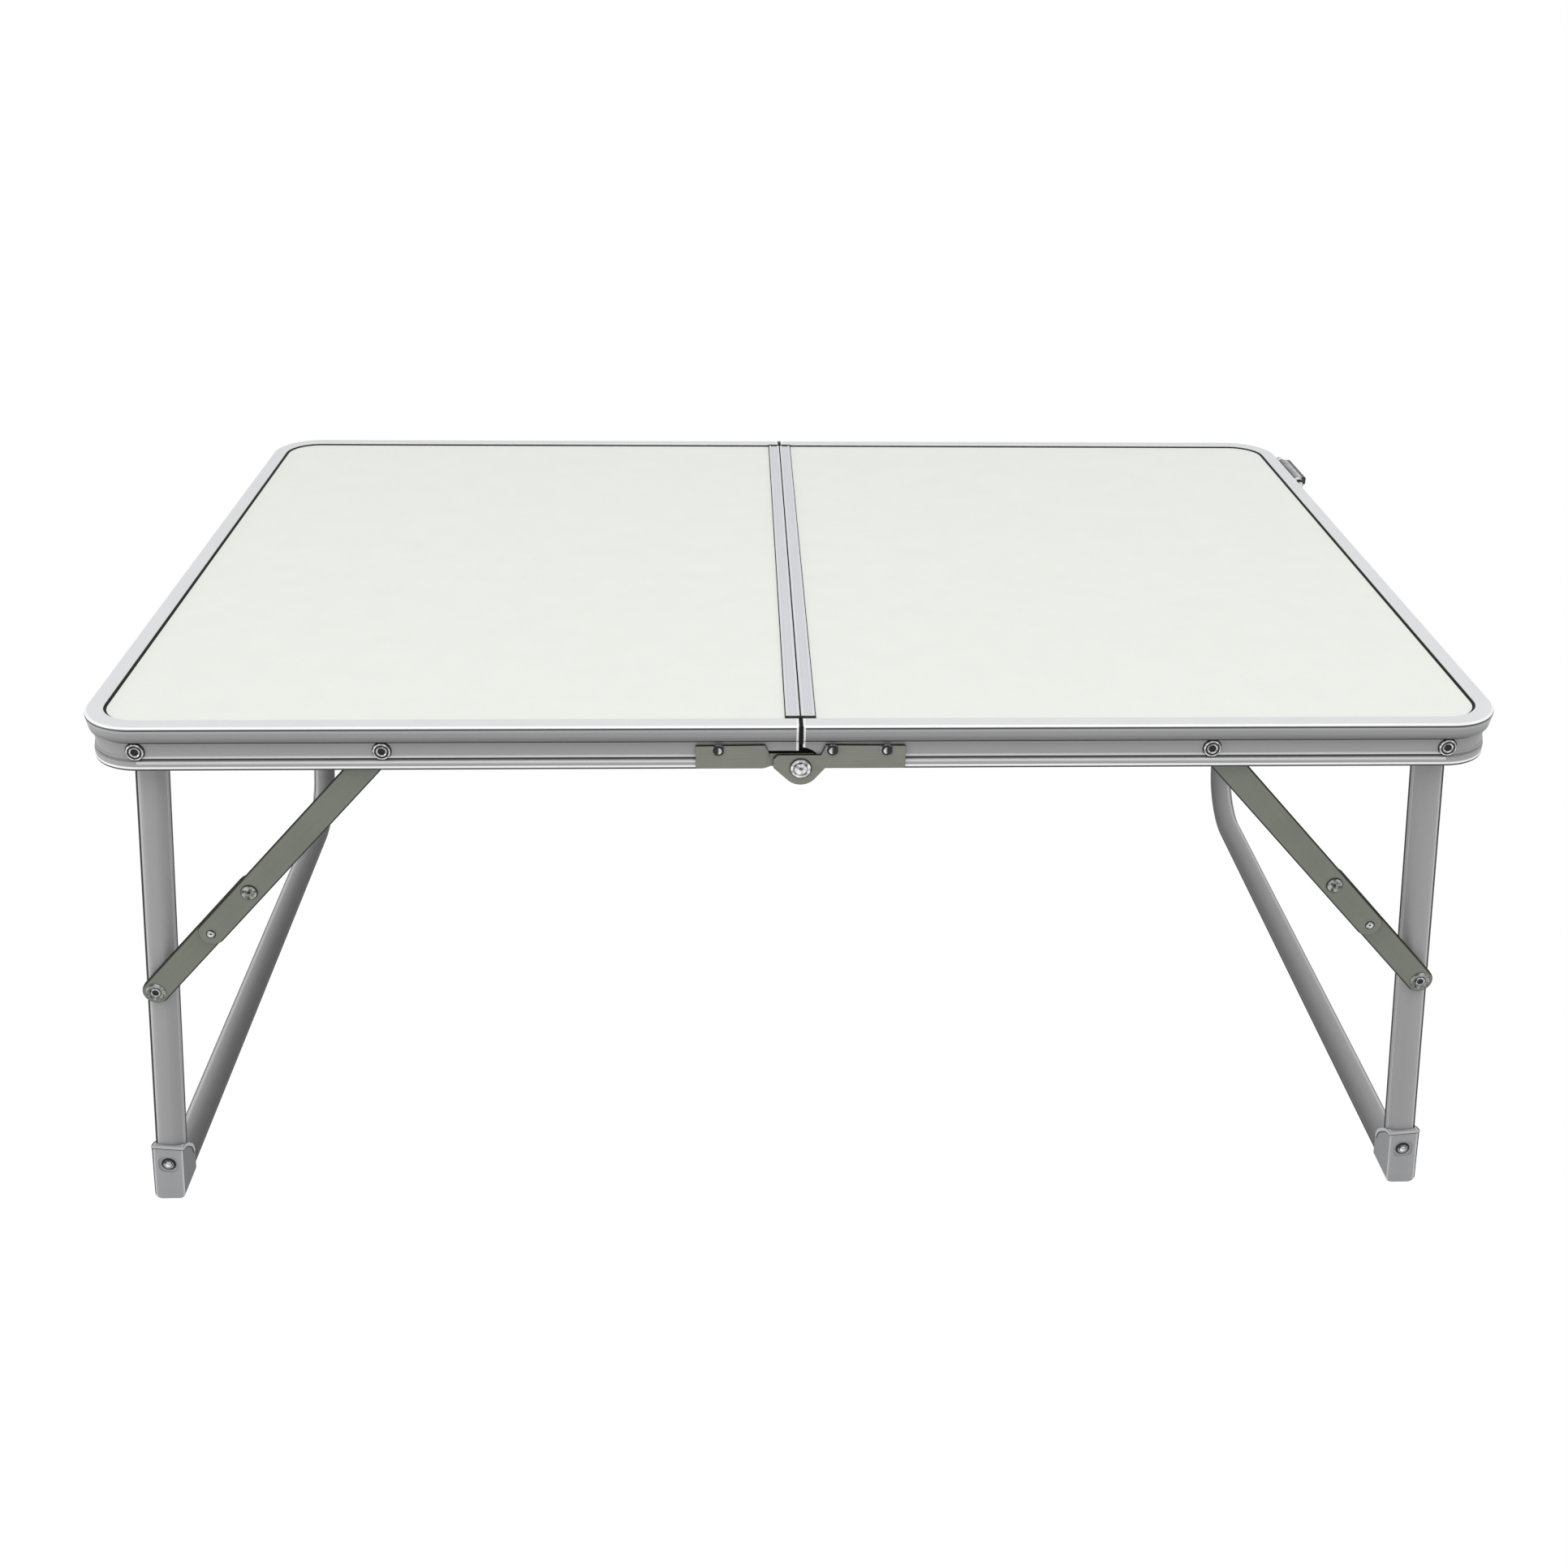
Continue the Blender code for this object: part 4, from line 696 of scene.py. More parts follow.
for face_name, face in FACES.items():
    here = quadrant(1, face, 0, hinge_height)
    right = put(f"right_hinge_leaf_{face_name}", edge_shaded(mirrored(right_plate(), 1, face)), hinge_steel, here)
    fix(right, "right_half", "steel", f"right_hinge_plate_{face_name}")
    left = put(f"left_hinge_leaf_{face_name}", mirrored(left_plate_profile(), -1, face), hinge_steel, here)
    carve(left, mirrored(left_plate_face(), -1, face), here, "INTERSECT")
    soften(left, PLATE_EDGE)
    # The left plate's edges and joggle take the near-black painted shade outline.
    coat_faces(left, lambda normal: abs(normal.y) < JOGGLE_FACE)
    fix(left, "left_half", "steel", f"left_hinge_plate_{face_name}")
    rivet(f"hinge_pin_head_{face_name}", PIN_PROFILE, 40, (1, face), here, "left_half", f"hinge_pin_{face_name}")
    for hand, places in RIVET_PLACES.items():
        for number, x in enumerate(places):
            cad = f"{hand}_plate_rivet_{number + 1}_{face_name}"
            quarter = (SIDES[hand], face)
            spot = quadrant(*quarter, x, hinge_height + PLATE_RIVET_RISE)
            coats = rivets_with_painted_light[hand]
            rivet(f"{cad}_head", PLATE_RIVET_PROFILE, 28, quarter, spot, f"{hand}_half", cad, finishes=coats)

# Leg frames: square steel tube with rounded corners, coated grey. The front leg is one straight length, and leans
# in a little more than its solid. The floor bar and the rear leg are one tube, bent to a wide round at the rear.
# Painted shade runs across the grey coat, dark on the side that faces the middle of the table and light outside, and
# darker on the left bent tube; painted shade lines and painted highlight lines run along the corners.

LEG_X = 275 * MM
PIVOT_Z = 243 * MM
SPLAY = radians(5.5)
TUBE = 13 * MM
TUBE_CORNER = 3.8 * MM
TUBE_WALL = 1 * MM
LEG_DEPTH = 19 * MM
LEG_TOP = 4 * MM
LEG_GAP = 0.3 * MM
BEND_RADIUS = 27 * MM
BEND_STEPS = 20
LEG_FRONT = LEG_DEPTH - TUBE / 2
BAR_RISE = (TUBE / 2 - TUBE_CORNER) * (cos(SPLAY) + sin(SPLAY)) + TUBE_CORNER
BAR_DROP = (PIVOT_Z - BAR_RISE) / cos(SPLAY)
FLOOR_DROP = PIVOT_Z / cos(SPLAY)
SOCKET_FLOOR = 16.7 * MM
FOOT_WALL = 1.8 * MM
FOOT_FRONT = -BEAD_FACE + LEG_FRONT - FOOT_WALL
SLEEVE_END = 19.8 * MM
BAR_LAP = 9 * MM
BAR_START = FOOT_FRONT + SLEEVE_END - BAR_LAP
LEG_CORNER = 4.5 * MM
BENT_CORNER = 6 * MM
LEAN_IN = radians(0.62)
LEAN_RISE = 64 * MM
# Painted shade across the tubes, dark on the side facing the middle of the table; the left bar is painted darker.
LEG_SHADE_TONES = ((0, 0.375), (4, 0.38), (8, 0.405), (11.5, 0.45), (13, 0.46))
BAR_SHADE_TONES = {
    "left": (
        (0, 0.085), (0.4, 0.11), (1.2, 0.145), (2.4, 0.175), (3.8, 0.21), (5.4, 0.26), (7.1, 0.31),
        (8.7, 0.36), (10.6, 0.43), (13, 0.46),
    ),
    "right": (
        (0, 0.13), (0.4, 0.17), (1.2, 0.22), (2.4, 0.27), (3.8, 0.31), (5.4, 0.34), (7.1, 0.365), (8.7, 0.39),
        (10.6, 0.44), (13, 0.46),
    ),
}
ARC_STEPS = 12
WALL_SPLITS = (0.45, -0.25)
# Strips by corner and place, painted as shade lines (1) or highlight lines (2).
LEG_SHADE_AND_HIGHLIGHT_LINES = {(0, 0): 2, (1, 3): 2, (1, 4): 2}
LEG_SHADE_AND_HIGHLIGHT_LINES |= {(1, place): 1 for place in range(5, 9)} | {(3, place): 1 for place in range(8, 13)}
BAR_SHADE_AND_HIGHLIGHT_LINES = {(0, place): 1 for place in range(4)} | {(2, 5): 1, (2, 7): 2, (2, 8): 2}


def rounded_square(half, corner, steps=6):
    corners = [(-half, -half, corner), (half, -half, corner), (half, half, corner), (-half, half, corner)]
    return rounded(corners, steps)


def tube_outline(half, corner):
    """A tube's section, with the inner wall divided beside the rear corner."""
    wall = half - corner
    return rounded_square(half, corner, ARC_STEPS) + [(-half, wall * place) for place in WALL_SPLITS]


def tube_along(stations, corner, lines):
    """A square tube, open at both ends, through stations given as (origin, across, up) in the leg's plane.

    Lines gives a strip its painted shade or painted highlight finish by its corner and its place on the round.
    """
    shape = bmesh.new()
    half = TUBE / 2
    walls = [
        [[shape.verts.new(origin + across * x + up * y) for x, y in loop] for origin, across, up in stations]
        for loop in (tube_outline(half, corner), tube_outline(half - TUBE_WALL, corner - TUBE_WALL))
    ]
    outer, inner = walls
    skin(shape, outer, lambda i, j: lines.get(divmod(j, ARC_STEPS + 1), 0))
    skin(shape, inner, lambda i, j: 0)
    for end in (0, -1):
        skin(shape, (outer[end], inner[end]), lambda i, j: 0)
    bmesh.ops.recalc_face_normals(shape, faces=shape.faces)
    return shape


def straight_leg():
    across, up = Vector((1, 0, 0)), Vector((0, 1, 0))
    y = -BEAD_FACE + LEG_DEPTH
    heights = (-FLOOR_DROP + SOCKET_FLOOR + LEG_GAP, LEG_TOP)
    return tube_along([(Vector((0, y, z)), across, up) for z in heights], LEG_CORNER, LEG_SHADE_AND_HIGHLIGHT_LINES)


def bent_leg():
    across = Vector((1, 0, 0))
    rear = BEAD_FACE - LEG_DEPTH
    centre = Vector((0, rear - BEND_RADIUS, -BAR_DROP + BEND_RADIUS))
    stations = [(Vector((0, BAR_START, -BAR_DROP)), across, Vector((0, 0, 1)))]
    for i in range(BEND_STEPS + 1):
        turn = pi / 2 * i / BEND_STEPS
        outward = Vector((0, sin(turn), -cos(turn)))
        stations.append((centre + outward * BEND_RADIUS, across, -outward))
    stations.append((Vector((0, rear, LEG_TOP)), across, Vector((0, -1, 0))))
    return tube_along(stations, BENT_CORNER, BAR_SHADE_AND_HIGHLIGHT_LINES)


ALONG_TUBE = (900, 900, 9)


def tube_coat(name, side, tones):
    """The grey coat of a tube, painted dark on the side facing the middle of the table and light outside, as shade.
    """
    tones = ("X", -side * TUBE / 2, side * MM, tones)
    grey = (1, 0.985, 1)
    return finish(name, (1, 1, 1), 0.5, 0.0, ALONG_TUBE, 0.02, 0.02, 25, 0.003, gloss=0.2, tones=tones, tint=grey)


# Near-black painted shade lines and light painted highlight lines along the tubes' corners.
tube_shade_and_highlight_lines = [
    finish("tube_painted_shade_edge", (0.035, 0.035, 0.035), 0.6, 0.0, ALONG_TUBE, 0.1, 0.1, 25, gloss=0.1),
    finish("tube_painted_highlight_edge", (0.52, 0.515, 0.52), 0.5, 0.0, ALONG_TUBE, 0.02, 0.02, 25, gloss=0.2),
]
leg_places = {
    hand: moved(side * LEG_X, 0, PIVOT_Z) @ Matrix.Rotation(-side * SPLAY, 4, "Y")
    for hand, side in SIDES.items()
}
for hand, side in SIDES.items():
    here = leg_places[hand]
    body = f"{hand}_legs"
    rise = moved(0, 0, LEAN_RISE - FLOOR_DROP)
    leaning = here @ rise @ Matrix.Rotation(-side * LEAN_IN, 4, "Y") @ rise.inverted()
    coats = [tube_coat(f"{hand}_leg_coat", side, LEG_SHADE_TONES)] + tube_shade_and_highlight_lines
    leg = put(f"{hand}_front_leg_tube", mirrored(straight_leg(), side, 1), coats, leaning)
    fix(leg, body, "tube", f"{hand}_front_leg")
    coats = [tube_coat(f"{hand}_bar_coat_painted_shade", side, BAR_SHADE_TONES[hand])] + tube_shade_and_highlight_lines
    bent = put(f"{hand}_bent_leg_tube", mirrored(bent_leg(), side, 1), coats, here)
    fix(bent, body, "tube", f"{hand}_bar_and_rear_leg")

# Feet: moulded plastic elbows that join the front leg to the floor bar. A collar stands round the leg, an arched
# sleeve takes the bar, the toe is rounded, and a screw in a sunk seat holds the leg. The inner side is painted
# dark as shade, darker on the left foot, with painted highlight lines and a dark painted outline across the front;
# a light band along the top edge is a painted highlight, and a near-black band under it is painted shade.

FOOT_TOP_HALF = 7.25 * MM
TOE_HALF = 7.05 * MM
TOE_ROUND = 3.2 * MM
FOOT_EDGE = 0.6 * MM
FOOT_SIDE = (
    (0, 31.5), (3, 30.7), (6.3, 29.1), (10.5, 25.9), (15, 21.7), (17.2, 18.4), (18.4, 15), (19.1, 10),
    (19.6, 5), (20, 0.6),
)
UNDER_FLOOR = -5
SIDE_REACH = 10 * MM
OUTER_FACE = 0.95
RIM_POINTS = 7
RIM_HALF = 7.5 * MM
RIM_PROUD = 0.35
SOCKET_PLAY = 0.35 * MM
SEAT_HALF = 4.6 * MM
SEAT_CORNER = 3 * MM
SEAT_SINK = 0.7 * MM
SCREW_PROUD = 0.2 * MM
BAND_EDGE = 0.15 * MM
RIM_BAND = (0, 1.5)
SHADE_BAND = (1.55, 2.1)
SHADE_BAND_HALF = FOOT_TOP_HALF + 0.1 * MM
SHADE_BAND_PROUD = 0.1
SCREW_HEIGHT = 20.4 * MM
SCREW_Z = SCREW_HEIGHT - FLOOR_DROP
# The foot's inner side is painted dark as shade, darker on the left foot.
FOOT_INNER_SHADE = {"left": 0.165, "right": 0.28}
FOOT_TINT = (1, 1.005, 1.03)
# Painted light across the front from the inner side: a highlight line, the face, a highlight line and a dark
# outline.
FOOT_PAINTED_LIGHT_TONES = (
    (0.35, 0.6), (0.9, 0.6), (1.2, 0.4), (7, 0.385), (13.1, 0.41), (13.4, 0.64), (13.85, 0.64),
    (14.05, 0.06), (14.5, 0.05),
)


def foot_body():
    """The foot from the front, tapered to a rounded toe, as a block as deep as the sleeve."""
    top = -FLOOR_DROP + FOOT_SIDE[0][1] * MM
    slope = -tan(SPLAY)
    outline = [(FOOT_TOP_HALF, top, 0), (-FOOT_TOP_HALF, top, 0)]
    outline += [(x, -FLOOR_DROP + slope * x, TOE_ROUND) for x in (-TOE_HALF, TOE_HALF)]
    return plate(rounded(outline, 6), FOOT_FRONT, FOOT_FRONT + FOOT_SIDE[-1][0] * MM, "y")


def foot_edge(under=0.0):
    """The sloping top edge of the foot from the side, or a line that far under it, in millimetres."""
    edge = []
    for i, (y, z) in enumerate(FOOT_SIDE):
        before, after = FOOT_SIDE[max(i - 1, 0)], FOOT_SIDE[min(i + 1, len(FOOT_SIDE) - 1)]
        along = Vector((after[0] - before[0], after[1] - before[1])).normalized()
        edge.append((y + along.y * under, z - along.x * under))
    return edge


def foot_side():
    """The foot from the side: highest in front of the leg, and sloping down to the end of the sleeve."""
    outline = [(FOOT_SIDE[-1][0], UNDER_FLOOR), (0, UNDER_FLOOR)] + foot_edge()
    return plate([(FOOT_FRONT + y * MM, -FLOOR_DROP + z * MM) for y, z in outline], -SIDE_REACH, SIDE_REACH, "x")


def foot_band(high, low, half, proud, number):
    """A band of the foot's edge, high to low millimetres under it, proud of the front, in a painted highlight or
    painted shade finish by its number.
    """
    upper, lower = foot_edge(high)[:RIM_POINTS], foot_edge(low)[:RIM_POINTS]
    for line in (upper, lower):
        line[0] = (-proud, line[0][1])
    outline = [(FOOT_FRONT + y * MM, -FLOOR_DROP + z * MM) for y, z in upper + lower[::-1]]
    shape = plate(outline, -half, half, "x", BAND_EDGE)
    for face in shape.faces:
        face.material_index = number
    return shape


def socket_cutters():
    bore = TUBE / 2 + SOCKET_PLAY
    leg = plate(rounded_square(bore, LEG_CORNER), SOCKET_FLOOR - FLOOR_DROP, 0, "z")
    leg.transform(moved(0, -BEAD_FACE + LEG_DEPTH, 0))
    seat = plate(rounded_square(SEAT_HALF, SEAT_CORNER), FOOT_FRONT - SEAT_SINK, FOOT_FRONT + SEAT_SINK, "y")
    seat.transform(moved(0, 0, SCREW_Z))
    return leg, seat


GRAINED = (1400, 1400, 1400)
# The light band along the top edge is a painted highlight; the near-black band under it is painted shade.
foot_rim_finishes = [
    finish("foot_rim_highlight_plastic", (0.52, 0.52, 0.535), 0.45, 0.0, GRAINED, 0.02, 0.02, 40, 0.02, gloss=0.3),
    finish("foot_painted_shade_plastic", (0.06, 0.06, 0.06), 0.6, 0.0, GRAINED, 0.05, 0.05, 40, 0.02, gloss=0.2),
]
PLASTIC = (0.5, 0.0, GRAINED, 0.02, 0.02, 40, 0.02)
foot_outside = finish("foot_outside_plastic", (0.36, 0.362, 0.37), *PLASTIC, gloss=0.25)
# The screw head: a polished centre as a painted highlight inside black rings of painted shade.
SCREW_PROFILE = (
    (0.35, 0, 2), (0.2, 1.1, 2), (0.3, 1.5, 1), (0.45, 1.8, 0), (0.3, 2.35, 1), (0.5, 2.7, 1), (0.75, 3.4, 1),
    (1.3, 3.45, 1), (1.3, 1.6, 1), (8, 1.6, 0), (8.4, 0, 0),
)
for hand, side in SIDES.items():
    here = leg_places[hand]
    body = f"{hand}_legs"
    inner = FOOT_INNER_SHADE[hand]
    tones = ("X", -side * FOOT_TOP_HALF, side * MM, ((0, inner), (0.2, inner)) + FOOT_PAINTED_LIGHT_TONES)
    plastic = finish(f"{hand}_foot_plastic", (1, 1, 1), *PLASTIC, gloss=0.25, tones=tones, tint=FOOT_TINT)
    foot = put(f"{hand}_moulded_foot", mirrored(foot_body(), side, 1), [plastic, foot_outside], here)
    carve(foot, mirrored(foot_side(), side, 1), here, "INTERSECT")
    soften(foot, FOOT_EDGE, 3, 50)
    coat_faces(foot, lambda normal: normal.x * side > OUTER_FACE)
    shade_band = foot_band(*SHADE_BAND, SHADE_BAND_HALF, SHADE_BAND_PROUD, 1)
    bands = joined(foot_band(*RIM_BAND, RIM_HALF, RIM_PROUD, 0), shade_band)
    foot_rim = put(f"{hand}_foot_rim", mirrored(bands, side, 1), foot_rim_finishes, here)
    for cutter in socket_cutters():
        carve(foot, mirrored(cutter, side, 1), here)
    carve(foot_rim, mirrored(socket_cutters()[0], side, 1), here)
    fix(foot, body, "foot_plastic", f"{hand}_foot")
    fix(foot_rim, body, "foot_plastic")
    spot = here @ moved(0, FOOT_FRONT - SCREW_PROUD, SCREW_Z)
    rivet(f"{hand}_foot_screw_head", SCREW_PROFILE, 32, (side, -1), spot, body, f"{hand}_foot_screw")

# Rivets through the rim wall: hollow steel rivets with low domed heads outside. One at each corner carries a leg
# and one further in carries a brace, each with a washer behind the wall.

HEAD_DEPTH = 1.6
BRACE_X = 174 * MM
# The rim rivets' heads: black rings and a black hollow centre are painted shade, polished rings painted highlights.
HEAD_FORM = (
    (0.95, 0, 1), (0.9, 1.4, 1), (0.4, 1.6, 2), (0.15, 2.1, 0), (0.3, 2.3, 1), (0.3, 2.9, 1), (0.2, 3.05, 2),
    (0.35, 3.55, 0), (0.7, 3.7, 1), (1.35, 4.15, 1), (1.7, 4.1, 1),
)
LEG_RIVET_SHANK = (
    (3.3, 2.1), (6.1, 2.1), (6.1, 4.2), (12.2, 4.2), (12.2, 2.1), (26.8, 2.1), (26.8, 3.6), (27.5, 3.3), (27.8, 0)
)
BRACE_RIVET_SHANK = (
    (3.3, 2.1), (5.7, 2.1), (5.7, 4.2), (6.3, 4.2), (6.3, 2.1), (8.4, 2.1), (8.4, 3.6), (9.3, 3.4), (9.5, 0)
)


def rim_rivet_profile(shank):
    """The head ahead of the rim wall, then shank, washer and tail, given as (depth, radius)."""
    head = [(HEAD_DEPTH + depth, radius, number) for depth, radius, number in HEAD_FORM]
    return head + [(depth, radius, 0) for depth, radius in shank]


for hand, side in SIDES.items():
    for face_name, face in FACES.items():
        for label, x, shank in (("leg", LEG_X, LEG_RIVET_SHANK), ("brace", BRACE_X, BRACE_RIVET_SHANK)):
            cad = f"{hand}_{label}_pivot_{face_name}"
            spot = quadrant(side, face, x, PIVOT_Z)
            rivet(f"{cad}_rivet", rim_rivet_profile(shank), 36, (side, face), spot, f"{hand}_half", cad)

# Folding braces: a flat upper strap from the rim, and a shallow pressed channel from the leg, joined by a knuckle
# rivet. The strap runs on past the knuckle and ends in a round nose with a pressed stop bump. Both carry painted
# shade outlines: near-black cut edges, and dark lines painted along both edges of their faces.

BRACE_SPAN = LEG_X - BRACE_X
BRACE_ON_LEG = 124 * MM
LINK_FRONT = 6.6 * MM
LINK_BACK = 8.1 * MM
LINK_HALF = 6 * MM
CHANNEL_FRONT = 9.2 * MM
CHANNEL_BACK = 12.2 * MM
CHANNEL_SHEET = 1 * MM
BUMP_BEYOND = 28.5 * MM
TAIL_BEYOND = 5.5 * MM
LINK_EDGE = 0.55 * MM
BRACE_OUT = BRACE_ON_LEG * sin(SPLAY)
BRACE_DOWN = BRACE_ON_LEG * cos(SPLAY)
BRACE_LENGTH = hypot(BRACE_SPAN + BRACE_OUT, BRACE_DOWN)
BRACE_LEAN = atan2(BRACE_SPAN + BRACE_OUT, BRACE_DOWN)
UPPER_LINK = (BRACE_LENGTH + BRACE_ON_LEG - BRACE_SPAN) / 2
LOWER_LINK = BRACE_LENGTH - UPPER_LINK
STRAP_COLOUR = (0.185, 0.20, 0.165)
STRAP_ARC_STEPS = 20
BUMP_PROFILE = (
    (6.2, 0, 0), (6.22, 1.6, 0), (6.3, 2.3, 0), (6.45, 2.9, 0), (6.6, 3.3, 0), (6.7, 3.6, 0), (7, 0, 0)
)


def strap(length, radius, beyond=0.0):
    bottom = arc((0, -length - beyond), radius, -pi, 0, STRAP_ARC_STEPS)
    return bottom + arc((0, 0), radius, 0, pi, STRAP_ARC_STEPS)


def upper_link():
    nose = BUMP_BEYOND + TAIL_BEYOND - LINK_HALF
    shape = plate(strap(UPPER_LINK, LINK_HALF, nose), -LINK_BACK, -LINK_FRONT, "y", LINK_EDGE, 2)
    bump = turned(BUMP_PROFILE)
    bump.transform(moved(0, 0, -UPPER_LINK - BUMP_BEYOND))
    return joined(shape, bump)


def flipped(points):
    return [(x, -y) for x, y in points]


def lower_link():
    outline = flipped(strap(LOWER_LINK, LINK_HALF))
    return plate(outline, -CHANNEL_BACK, -CHANNEL_FRONT, "y", LINK_EDGE, 2)


def channel_pocket():
    outline = flipped(strap(LOWER_LINK, LINK_HALF - CHANNEL_SHEET))
    return plate(outline, -CHANNEL_BACK - CUTTER_RUN, -CHANNEL_FRONT - CHANNEL_SHEET, "y")


ALONG_STRAP = (1500, 1500, 25)
# Dark lines painted along both edges of the straps' faces, as shade outlines.
STRAP_SHADE_LINE = 0.1
STRAP_SHADE_TONES = ((0, STRAP_SHADE_LINE), (0.5, STRAP_SHADE_LINE), (0.8, 1), (11.2, 1), (11.5, STRAP_SHADE_LINE), (12, STRAP_SHADE_LINE))
strap_shade_tones = ("X", -LINK_HALF, MM, STRAP_SHADE_TONES)
strap_steel = [
    finish("brace_strap_steel", STRAP_COLOUR, 0.36, 0.3, ALONG_STRAP, 0.06, 0.06, 45, tones=strap_shade_tones),
    finish("brace_strap_shade_edge", (0.02, 0.022, 0.018), 0.6, 0.0, ALONG_STRAP, 0.1, 0.1, 45, gloss=0.1),
]
# Black centres and rims of these heads are painted shade outlines, polished rings painted highlights.
KNUCKLE_PROFILE = (
    (6.3, 0, 1), (6.25, 0.7, 3), (5.95, 1.1, 0), (5.85, 1.9, 3), (5.85, 2.6, 3), (6, 3.3, 1), (6.3, 3.7, 1),
    (6.3, 2.1, 0), (8.4, 2.1, 0), (8.4, 4, 0), (8.9, 3.9, 0), (8.9, 0, 0),
)
STUD_PROFILE = (
    (6.15, 0, 1), (6.1, 0.5, 2), (5.95, 0.9, 2), (5.98, 1.4, 3), (6.1, 1.8, 1), (6.25, 2.2, 1), (6.6, 2.1, 1),
    (6.6, 0, 1),
)
FOOT_RIVET_PROFILE = (
    (8.95, 0, 1), (8.9, 1.3, 1), (8.55, 1.5, 2), (8.42, 1.9, 0), (8.45, 2.3, 1), (8.6, 2.6, 3), (8.75, 3, 0),
    (8.85, 3.9, 3), (8.95, 4.4, 1), (8.95, 2.1, 0), (26.8, 2.1, 0), (26.8, 3.6, 0), (27.5, 3.3, 0), (27.8, 0, 0),
)
for hand, side in SIDES.items():
    for face_name, face in FACES.items():
        tail = f"{hand}_{face_name}"
        top = quadrant(side, face, BRACE_X, PIVOT_Z, BRACE_LEAN)
        foot = quadrant(side, face, LEG_X + BRACE_OUT, PIVOT_Z - BRACE_DOWN, BRACE_LEAN)
        upper = put(f"brace_strap_{tail}", edge_shaded(mirrored(upper_link(), side, face)), strap_steel, top)
        fix(upper, f"upper_link_{tail}", "strap", f"upper_link_{tail}")
        lower = put(f"brace_channel_{tail}", edge_shaded(mirrored(lower_link(), side, face)), strap_steel, foot)
        carve(lower, mirrored(channel_pocket(), side, face), foot)
        fix(lower, f"lower_link_{tail}", "strap", f"lower_link_{tail}")
        knuckle = top @ moved(0, 0, -UPPER_LINK)
        stop = top @ moved(0, 0, -UPPER_LINK - BUMP_BEYOND)
        low = quadrant(side, face, LEG_X, PIVOT_Z, SPLAY) @ moved(0, 0, -BRACE_ON_LEG)
        quarter, link = (side, face), f"upper_link_{tail}"
        rivet(f"knuckle_head_{tail}", KNUCKLE_PROFILE, 40, quarter, knuckle, link, f"knuckle_rivet_{tail}")
        rivet(f"stop_stud_{tail}", STUD_PROFILE, 24, quarter, stop, link)
        cad = f"brace_foot_rivet_{tail}"
        rivet(f"brace_foot_head_{tail}", FOOT_RIVET_PROFILE, 40, quarter, low, f"{hand}_legs", cad)

# Case latch: a chromed bracket on the right end with a hook lever rolled round its pin, and a bent catch plate on
# the left end. The pin has round turned heads, and the lever's free corners are rounded. The chrome carries painted
# reflections and shade: the bracket is bright on its upward faces and near black elsewhere, bands are painted
# across the lever, and cloudy light and dark patches run over it all.

LATCH_FACE = TOP_LENGTH / 2
LATCH_PLACE = 153.5 * MM
LATCH_HALF = 21 * MM
LATCH_EYE = 4 * MM
LATCH_SHEET = 1.1 * MM
LATCH_OUT = 3 * MM
LATCH_EDGE = 0.2 * MM
LEVER_EDGE = 0.25 * MM
GAP_LOW = -12 * MM
LATCH_DROP = 4.3 * MM
EYE_RADIUS = 2.6 * MM
ROLL_RADIUS = 2.5 * MM
LEVER_REACH = 5.2 * MM
LEVER_HOOK = 4.4 * MM
SKIRT_SET_BACK = 3.7 * MM
SKIRT_X = -LATCH_OUT - SKIRT_SET_BACK
TAB_TOP = -6.4 * MM
BRACKET_TAB = 7.6 * MM
CATCH_TAB = 6 * MM
CATCH_HALF = 15 * MM
CATCH_LIP = 1.2 * MM
EYE_STEPS = 28
PIN_END = 41
PIN_HALF = 21
PIN_RADIUS = 1.2
HIGHLIGHT_UP = 0.55
SHADE_OUT = 0.6
LEVER_PLAY = 0.3 * MM


def latch_bracket():
    arm_top = LATCH_DROP + TAB_TOP
    arm_bottom = arm_top - LATCH_SHEET
    outline = [(SKIRT_X, arm_top - BRACKET_TAB), (SKIRT_X + LATCH_SHEET, arm_top - BRACKET_TAB)]
    outline += [(SKIRT_X + LATCH_SHEET, arm_bottom), (0, arm_bottom)]
    outline += arc((0, 0), EYE_RADIUS, -pi / 2, pi - asin(arm_top / EYE_RADIUS), EYE_STEPS)
    outline += [(SKIRT_X, arm_top)]
    return plate(outline, -LATCH_HALF, LATCH_HALF, "y", LATCH_EDGE)


def latch_lever():
    under = ROLL_RADIUS - LATCH_SHEET
    outline = arc((0, 0), ROLL_RADIUS, pi / 2, tau - asin(under / ROLL_RADIUS / 2), EYE_STEPS)
    outline += [(ROLL_RADIUS, under), (LEVER_REACH - LATCH_SHEET, under)]
    outline += [(LEVER_REACH - LATCH_SHEET, ROLL_RADIUS - LEVER_HOOK), (LEVER_REACH, ROLL_RADIUS - LEVER_HOOK)]
    outline += rounded([(LEVER_REACH, 0, 0), (LEVER_REACH, ROLL_RADIUS, LATCH_SHEET), (0, ROLL_RADIUS, 0)])[1:-1]
    half = LATCH_HALF - LATCH_EYE - LEVER_PLAY
    return plate(outline, -half, half, "y", LEVER_EDGE)


def latch_catch():
    low = TAB_TOP - CATCH_TAB
    inner = LATCH_SHEET - SKIRT_SET_BACK
    outline = [(-SKIRT_SET_BACK, low), (inner, low), (inner, TAB_TOP - LATCH_SHEET)]
    outline += [(inner + CATCH_LIP, TAB_TOP - LATCH_SHEET), (inner + CATCH_LIP, TAB_TOP), (-SKIRT_SET_BACK, TAB_TOP)]
    return plate(outline, -CATCH_HALF, CATCH_HALF, "y", LATCH_EDGE)


